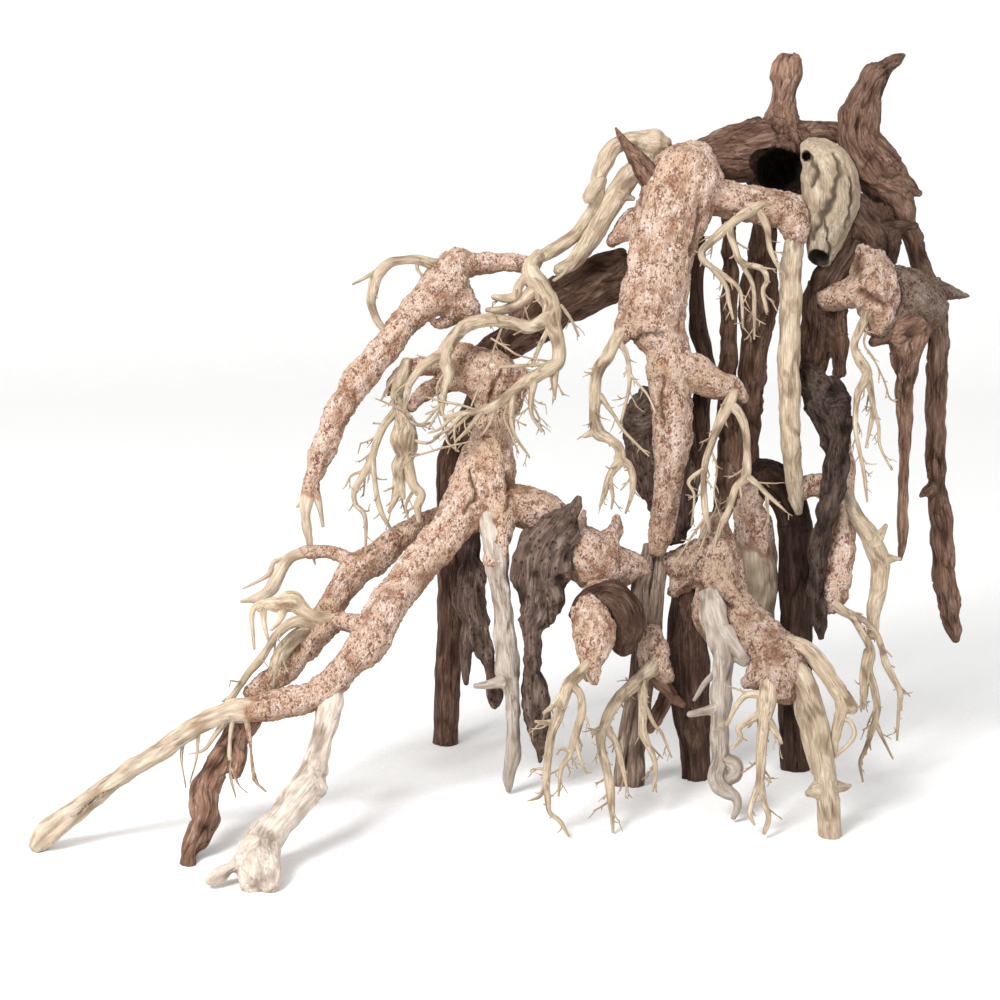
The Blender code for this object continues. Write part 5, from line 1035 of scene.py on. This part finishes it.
def dress(item, name, slot, grain, radius, hollows):
    """Raise the relief of a piece and store what its material needs to know of each point."""
    mesh = item.data
    points, normals = read_verts(mesh)
    height = relief_of(slot, points, grain, radius)
    bare = bare_share(name, points)
    if bare.any():
        wood = relief_of("bleached_wood", points, grain, radius)
        height = height * (1.0 - bare) + (wood - COAT_THICK) * bare
    crease = crease_share(name, points, normals)
    height = height - CREASE_DEPTH * crease
    moved = points + normals * height[:, None]
    mesh.vertices.foreach_set("co", (moved * MM).ravel())
    mesh.update()
    spread = max(0.2, float(np.percentile(np.abs(height), 98)))
    foot_tone, head_tone = TONES.get(name, (1.0, 1.0))
    rise = (points[:, 2] - points[:, 2].min()) / np.ptp(points[:, 2])
    # Painted shade: the tone is darkened nearly to black on the walls of the hollows
    tone = (foot_tone + (head_tone - foot_tone) * rise) * painted_hollow_shade(points, hollows)
    write_attribute(mesh, "grain", "FLOAT_VECTOR", grain)
    write_attribute(mesh, "relief", "FLOAT", height / spread)
    write_attribute(mesh, "slimness", "FLOAT", np.clip(1.0 - radius / 3.0, 0.0, 1.0))
    write_attribute(mesh, "bare", "FLOAT", bare)
    # Painted shade: how much each surface faces down, for the shade painted on undersides
    write_attribute(mesh, "painted_underside_shade", "FLOAT", np.clip(0.25 - normals[:, 2], 0.0, 1.0))
    # Painted shade: the tone is darkened by up to 60% along the creases
    write_attribute(mesh, "tone", "FLOAT", tone * (1.0 - 0.6 * crease))


def thin_out(item):
    """Join the smallest faces of a piece where that changes its shape least."""
    modifier = item.modifiers.new("thin", "DECIMATE")
    modifier.ratio = FACES_KEPT
    apply_modifiers(item)


def cut_at_floor(mesh):
    """Cut a piece flat where it stands on the floor."""
    shape = bmesh.new()
    shape.from_mesh(mesh)
    if min(vertex.co.z for vertex in shape.verts) < 0.0:
        cut = bmesh.ops.bisect_plane(shape, geom=shape.verts[:] + shape.edges[:] + shape.faces[:],
                                     dist=1e-6, plane_co=(0.0, 0.0, 0.0), plane_no=(0.0, 0.0, 1.0),
                                     clear_inner=True)
        rim = [edge for edge in cut["geom_cut"] if isinstance(edge, bmesh.types.BMEdge)]
        bmesh.ops.holes_fill(shape, edges=rim, sides=0)
    shape.to_mesh(mesh)
    shape.free()


def make_piece(name, slot, runs, hollows, chance):
    """Build one piece of the root and put it in its solid's place."""
    runs = list(runs) + [(TWIG, route) for route in FINE_GROWTH.get(name, [])]
    strands = []
    for run in runs:
        knots = place(run[1])
        knots[:, 3] *= FINENESS.get(name, 1.0)
        strands.append(Strand(knots, run[0], run[2] if len(run) > 2 else 1.0))
    carving = [Strand(place(run[1]), run[0]) for run in hollows]
    fused, loose = [], []
    for strand in strands:
        stout = strand.kind != TWIG or strand.rings[:, 3].mean() > STOUT_TWIG
        (fused if stout and name in SKIN_CELL else loose).append(strand)
    if name in SPUR_EVERY:
        loose += spurs(strands, SPUR_EVERY[name], chance)
    item = new_object("root_" + name, mesh_of(name, [strand.loft() for strand in fused or loose]))
    grain, radius = [], []
    if fused:
        softening = GRIT_SOFTENING if slot == "wood_grit" else WOOD_SOFTENING
        fuse(item, carving, SKIN_CELL[name], softening)
        skin_grain, skin_radius = grain_of(read_verts(item.data)[0], fused)
        grain.append(skin_grain)
        radius.append(skin_radius)
        if loose:
            shape = bmesh.new()
            shape.from_mesh(item.data)
            shape.from_mesh(mesh_of(name, [strand.loft() for strand in loose]))
            shape.to_mesh(item.data)
            shape.free()
    for number, strand in enumerate(loose):
        own_grain, own_radius = strand.own_grain()
        grain.append(own_grain + 23.0 * number)
        radius.append(own_radius)
    dress(item, name, slot, np.vstack(grain), np.concatenate(radius), carving)
    thin_out(item)
    cut_at_floor(item.data)
    item.data.shade_smooth()
    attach(item, "root")
    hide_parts(name)
    return item


class Shade:
    """A procedural material under construction."""

    def __init__(self, name, roughness, specular=PLAIN_SPECULAR):
        self.material = bpy.data.materials.new(name)
        self.material.use_nodes = True
        self.tree = self.material.node_tree
        self.shader = self.tree.nodes["Principled BSDF"]
        self.shader.inputs["Roughness"].default_value = roughness
        self.shader.inputs["Specular IOR Level"].default_value = specular

    def put(self, socket, value):
        """Set a socket to a value, or link another node's output to it."""
        if isinstance(value, bpy.types.NodeSocket):
            self.tree.links.new(value, socket)
        else:
            socket.default_value = value

    def position(self):
        """The place on the object, in metres."""
        return self.tree.nodes.new("ShaderNodeTexCoord").outputs["Object"]

    def stored(self, name, output):
        """A value stored on the surface."""
        node = self.tree.nodes.new("ShaderNodeAttribute")
        node.attribute_name = name
        return node.outputs[output]

    def stretch(self, vector, amounts):
        """A vector with each axis multiplied."""
        node = self.tree.nodes.new("ShaderNodeVectorMath")
        node.operation = "MULTIPLY"
        self.put(node.inputs[0], vector)
        node.inputs[1].default_value = amounts
        return node.outputs[0]

    def noise(self, vector, detail=4.0, roughness=0.6, distortion=0.0):
        """Soft noise, 0 to 1, with features about one unit wide."""
        node = self.tree.nodes.new("ShaderNodeTexNoise")
        self.put(node.inputs["Vector"], vector)
        node.inputs["Scale"].default_value = 1.0
        node.inputs["Detail"].default_value = detail
        node.inputs["Roughness"].default_value = roughness
        node.inputs["Distortion"].default_value = distortion
        return node.outputs["Fac"]

    def cells(self, vector, feature, output):
        """Voronoi cells about one unit wide."""
        node = self.tree.nodes.new("ShaderNodeTexVoronoi")
        node.feature = feature
        self.put(node.inputs["Vector"], vector)
        node.inputs["Scale"].default_value = 1.0
        return node.outputs[output]

    def math(self, operation, one, other=0.0, clamp=False):
        """Arithmetic on two numbers."""
        node = self.tree.nodes.new("ShaderNodeMath")
        node.operation = operation
        node.use_clamp = clamp
        self.put(node.inputs[0], one)
        self.put(node.inputs[1], other)
        return node.outputs[0]

    def spread(self, value, low, high, to_low=0.0, to_high=1.0):
        """A number carried from one range to another, clamped."""
        node = self.tree.nodes.new("ShaderNodeMapRange")
        self.put(node.inputs["Value"], value)
        node.inputs["From Min"].default_value = low
        node.inputs["From Max"].default_value = high
        node.inputs["To Min"].default_value = to_low
        node.inputs["To Max"].default_value = to_high
        return node.outputs["Result"]

    def ramp(self, value, stops):
        """A colour for a number, from stops of (place, colour)."""
        node = self.tree.nodes.new("ShaderNodeValToRGB")
        elements = node.color_ramp.elements
        while len(elements) < len(stops):
            elements.new(0.5)
        for element, (spot, colour) in zip(elements, stops):
            element.position = spot
            element.color = (*colour, 1.0)
        self.put(node.inputs["Fac"], value)
        return node.outputs["Color"]

    def mix(self, share, one, other, blend="MIX"):
        """Two colours mixed."""
        node = self.tree.nodes.new("ShaderNodeMix")
        node.data_type = "RGBA"
        node.blend_type = blend
        self.put(node.inputs[0], share)
        for socket, value in ((node.inputs[6], one), (node.inputs[7], other)):
            self.put(socket, value if isinstance(value, bpy.types.NodeSocket) else (*value, 1.0))
        return node.outputs[2]

    def finish(self, colour, height, depth):
        """Connect the colour, and the bump with its depth in millimetres."""
        self.put(self.shader.inputs["Base Color"], colour)
        bump = self.tree.nodes.new("ShaderNodeBump")
        bump.inputs["Strength"].default_value = 1.0
        bump.inputs["Distance"].default_value = depth * MM
        self.put(bump.inputs["Height"], height)
        self.put(self.shader.inputs["Normal"], bump.outputs["Normal"])
        return self.material


def wood_layers(shade, colours, streak, grooves):
    """Colour and height of bare wood: streaks along the grain, stains, thin dark grooves, and painted shade
    in sunk places.
    """
    grain = shade.stored("grain", "Vector")
    across = 1.0 / streak
    fine = shade.noise(shade.stretch(grain, (across, across, across / 15.0)), 8.0, 0.72, 0.7)
    broad = shade.noise(shade.stretch(grain, (0.12, 0.12, 0.04)), 5.0, 0.65, 0.6)
    tone = shade.math("ADD", shade.math("MULTIPLY", fine, 0.66), shade.math("MULTIPLY", broad, 0.34))
    dark, middle, pale = colours
    colour = shade.ramp(shade.spread(tone, 0.34, 0.66), ((0.0, dark), (0.5, middle), (1.0, pale)))
    thin = shade.noise(shade.stretch(grain, (0.30, 0.30, 0.026)), 3.0, 0.6, 0.9)
    off_line = shade.math("ABSOLUTE", shade.math("SUBTRACT", thin, 0.5))
    patch = shade.noise(shade.stretch(shade.position(), (52.0, 52.0, 36.0)), 2.0)
    groove = shade.math("MULTIPLY", shade.spread(off_line, 0.0, 0.018, 1.0, 0.0),
                        shade.spread(patch, 0.46, 0.58, 0.0, grooves))
    colour = shade.mix(groove, colour, tuple(share * 0.4 for share in dark))
    # Painted shade: the sunk places of the relief are darkened
    painted_crevice_shade = shade.spread(shade.stored("relief", "Fac"), -0.9, 0.0, 0.8, 0.0)
    colour = shade.mix(painted_crevice_shade, colour, tuple(share * 0.7 for share in dark))
    # The stored tone is each piece's own lightness, and also painted shade in hollows and creases
    colour = shade.mix(1.0, colour, shade.stored("tone", "Fac"), "MULTIPLY")
    height = shade.math("SUBTRACT", fine, groove)
    return colour, height


def dark_hardwood():
    """Dark stakes with a straight reddish grain."""
    shade = Shade("dark_hardwood_grain", 0.7, DULL_SPECULAR)
    colours = ((0.044, 0.019, 0.012), (0.112, 0.060, 0.042), (0.270, 0.180, 0.135))
    colour, height = wood_layers(shade, colours, 1.1, 0.8)
    worn = shade.spread(shade.stored("tone", "Fac"), 1.2, 2.0)
    colour = shade.mix(worn, colour, shade.mix(1.0, colour, (0.95, 1.24, 1.36), "MULTIPLY"))
    return shade.finish(colour, height, 0.9)


def weathered_wood():
    """Brown driftwood with greyed ridges and dark grooves."""
    shade = Shade("weathered_wood_grain", 0.85, DULL_SPECULAR)
    colours = ((0.052, 0.024, 0.015), (0.192, 0.108, 0.074), (0.400, 0.280, 0.222))
    colour, height = wood_layers(shade, colours, 1.5, 0.8)
    return shade.finish(colour, height, 1.2)


def grey_driftwood():
    """Grey-brown driftwood, pitted and dull, with painted shade inside its pits."""
    shade = Shade("grey_driftwood_grain", 0.9, DULL_SPECULAR)
    colours = ((0.040, 0.024, 0.018), (0.155, 0.102, 0.080), (0.37, 0.290, 0.250))
    colour, height = wood_layers(shade, colours, 1.8, 0.6)
    pits = shade.cells(shade.stretch(shade.position(), (260.0, 260.0, 190.0)), "F1", "Distance")
    # The pits are bumped in and painted nearly black: painted shade inside the pits
    pit_and_painted_shade = shade.spread(pits, 0.10, 0.28, 0.75, 0.0)
    colour = shade.mix(pit_and_painted_shade, colour, (0.02, 0.012, 0.010))
    return shade.finish(colour, shade.math("SUBTRACT", height, pit_and_painted_shade), 1.3)


def bleached_wood():
    """Wood bleached to a pinkish grey-white, with fine grain lines."""
    shade = Shade("bleached_wood_grain", 0.75)
    colours = ((0.38, 0.285, 0.215), (0.62, 0.525, 0.445), (0.88, 0.81, 0.74))
    colour, height = wood_layers(shade, colours, 1.2, 0.55)
    return shade.finish(colour, height, 0.7)


def pale_root():
    """Peeled cream roots, greenish grey in places, browner at their thin tips."""
    shade = Shade("pale_root_skin", 0.7)
    colours = ((0.24, 0.155, 0.092), (0.47, 0.370, 0.266), (0.74, 0.645, 0.515))
    colour, height = wood_layers(shade, colours, 1.1, 0.5)
    stain = shade.noise(shade.stretch(shade.position(), (34.0, 34.0, 26.0)), 4.0)
    colour = shade.mix(shade.spread(stain, 0.50, 0.75, 0.0, 0.28), colour, (0.34, 0.275, 0.18))
    tip = shade.spread(shade.stored("slimness", "Fac"), 0.45, 0.85, 0.0, 0.4)
    colour = shade.mix(tip, colour, (0.30, 0.195, 0.115))
    return shade.finish(colour, height, 0.6)


def wood_grit():
    """Coarse pink wood grit in glue: pale and tan grains, clusters of rust-red pits, and painted shade in
    sunk places and on undersides.
    """
    shade = Shade("wood_grit_grains", 0.9)
    spot = shade.position()
    grain = shade.stored("grain", "Vector")
    fine_spot = shade.stretch(spot, (820.0, 820.0, 640.0))
    tones = shade.tree.nodes.new("ShaderNodeSeparateColor")
    shade.put(tones.inputs[0], shade.cells(fine_spot, "F1", "Color"))
    patch = shade.noise(shade.stretch(spot, (62.0, 62.0, 50.0)), 7.0, 0.72)
    streak = shade.noise(shade.stretch(grain, (0.50, 0.50, 0.06)), 6.0, 0.7, 0.8)
    pick = shade.math("ADD", shade.math("MULTIPLY", tones.outputs[0], 0.30),
                      shade.spread(patch, 0.32, 0.68, 0.0, 0.38))
    pick = shade.math("ADD", pick, shade.spread(streak, 0.32, 0.68, 0.0, 0.40))
    colour = shade.ramp(pick, (
        (0.00, (0.195, 0.085, 0.042)),
        (0.26, (0.350, 0.200, 0.122)),
        (0.48, (0.540, 0.375, 0.285)),
        (0.74, (0.660, 0.515, 0.440)),
        (1.00, (0.880, 0.770, 0.700)),
    ))
    tan = shade.noise(shade.stretch(spot, (26.0, 26.0, 22.0)), 3.0)
    colour = shade.mix(shade.spread(tan, 0.50, 0.66, 0.0, 0.42), colour, (0.46, 0.32, 0.19))
    distance = shade.cells(fine_spot, "F1", "Distance")
    cluster = shade.noise(shade.stretch(spot, (150.0, 150.0, 95.0)), 5.0, 0.75)
    clustered = shade.math("MULTIPLY", shade.spread(tones.outputs[1], 0.42, 0.55),
                           shade.spread(cluster, 0.52, 0.59, 0.0, 0.85))
    lone = shade.spread(tones.outputs[2], 0.93, 0.945, 0.0, 0.75)
    speck = shade.math("MAXIMUM", clustered, lone)
    colour = shade.mix(speck, colour, (0.175, 0.055, 0.028))
    # Painted shade: the sunk places of the grit are darkened toward red-brown
    painted_crevice_shade = shade.spread(shade.stored("relief", "Fac"), -1.0, -0.15, 0.75, 0.0)
    colour = shade.mix(painted_crevice_shade, colour, (0.270, 0.125, 0.066))
    # Painted shade on undersides: surfaces that face down are mixed toward a dark rust-brown
    painted_underside_shade = shade.spread(shade.stored("painted_underside_shade", "Fac"), 0.25, 1.0, 0.0, 0.6)
    colour = shade.mix(painted_underside_shade, colour, (0.290, 0.150, 0.080))
    # The stored tone is each piece's own lightness, and also painted shade in hollows and creases
    colour = shade.mix(1.0, colour, shade.stored("tone", "Fac"), "MULTIPLY")
    fine = shade.noise(shade.stretch(spot, (1300.0, 1300.0, 1300.0)), 2.0)
    height = shade.math("ADD", shade.spread(distance, 0.0, 0.75, 1.0, 0.0),
                        shade.math("MULTIPLY", fine, 0.35))
    height = shade.math("SUBTRACT", height, speck)
    pale = ((0.40, 0.275, 0.170), (0.62, 0.51, 0.39), (0.80, 0.72, 0.62))
    bare_colour, bare_height = wood_layers(shade, pale, 1.3, 0.5)
    bare = shade.stored("bare", "Fac")
    colour = shade.mix(bare, colour, bare_colour)
    edge = shade.math("MULTIPLY", bare, shade.math("SUBTRACT", 1.0, bare))
    colour = shade.mix(shade.spread(edge, 0.06, 0.22, 0.0, 0.6), colour, (0.31, 0.140, 0.075))
    coated = shade.math("MULTIPLY", height, shade.math("SUBTRACT", 1.0, bare))
    return shade.finish(colour, shade.math("ADD", coated, shade.math("MULTIPLY", bare_height, bare)), 0.9)


def floor_material(name, colour):
    """A pale matt surface with a faint fine grain."""
    shade = Shade(name, 0.95)
    fine = shade.noise(shade.stretch(shade.position(), (260.0, 260.0, 260.0)), 3.0)
    darker = tuple(share * 0.96 for share in colour)
    return shade.finish(shade.ramp(fine, ((0.3, darker), (0.7, colour))), fine, 0.5)


def set_stage():
    """A pale round floor whose rim curves up into a wall, well outside the camera's circle."""
    verts, faces = [], []
    for reach, height in STAGE_RIM:
        for step in range(STAGE_SIDES):
            turn = 2.0 * math.pi * step / STAGE_SIDES
            verts.append((reach * math.cos(turn), reach * math.sin(turn), height))
    for ring in range(len(STAGE_RIM) - 1):
        for step in range(STAGE_SIDES):
            after = (step + 1) % STAGE_SIDES
            low, high = ring * STAGE_SIDES, (ring + 1) * STAGE_SIDES
            faces.append((low + step, high + step, high + after, low + after))
    mesh = bpy.data.meshes.new("pale_floor")
    mesh.from_pydata(verts, [], faces)
    mesh.polygons.foreach_set("use_smooth", [True] * len(faces))
    mesh.update()
    floor = new_object("pale_floor", mesh)
    mesh.materials.append(floor_material("pale_floor_matt", STAGE_PALE))


def add_light(name, location, size, watts, colour):
    """A soft square lamp that faces the root."""
    lamp = bpy.data.lights.new(name, "AREA")
    lamp.size = size
    lamp.energy = watts
    lamp.color = colour
    item = bpy.data.objects.new(name, lamp)
    bpy.context.scene.collection.objects.link(item)
    item.location = location
    item.rotation_euler = (Vector(LAMP_TARGET) - item.location).to_track_quat("-Z", "Y").to_euler()


def set_lights():
    """Even white light all round, and a large soft lamp above on the left."""
    world = bpy.data.worlds.new("studio")
    world.use_nodes = True
    background = world.node_tree.nodes["Background"]
    background.inputs["Color"].default_value = (1.0, 1.0, 1.0, 1.0)
    background.inputs["Strength"].default_value = WORLD_LIGHT
    bpy.context.scene.world = world
    for name, lamp in LAMPS.items():
        add_light(name, *lamp)


def set_camera():
    """The camera at the point that the sight lines of the drawing plane meet in."""
    lens = bpy.data.cameras.new("camera")
    lens.lens = LENS
    lens.sensor_width = PICTURE_WIDTH
    lens.clip_end = 20.0
    camera = bpy.data.objects.new("camera", lens)
    bpy.context.scene.collection.objects.link(camera)
    tilt = math.radians(SIGHT_TILT)
    camera.location = (-MIDDLE_ACROSS * MM,
                       (-PLANE_DISTANCE * math.cos(tilt) - MIDDLE_BACK) * MM,
                       (PLANE_CENTRE_HEIGHT + PLANE_DISTANCE * math.sin(tilt)) * MM)
    camera.rotation_euler = (math.radians(90.0 - SIGHT_TILT), 0.0, 0.0)
    bpy.context.scene.camera = camera


MATERIAL_MAKERS = {
    "wood_grit": wood_grit,
    "pale_root": pale_root,
    "dark_hardwood": dark_hardwood,
    "weathered_wood": weathered_wood,
    "grey_driftwood": grey_driftwood,
    "bleached_wood": bleached_wood,
}


def main():
    """Dress every piece, then set the stage, the lights and the camera."""
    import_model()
    bpy.context.scene.view_settings.view_transform = "Standard"
    chance = random.Random(SEED)
    materials = {slot: maker() for slot, maker in MATERIAL_MAKERS.items()}
    for name, (slot, runs, *hollows) in PIECES.items():
        item = make_piece(name, slot, runs, hollows[0] if hollows else [], chance)
        item.data.materials.append(materials[slot])
    set_stage()
    set_lights()
    set_camera()


main()
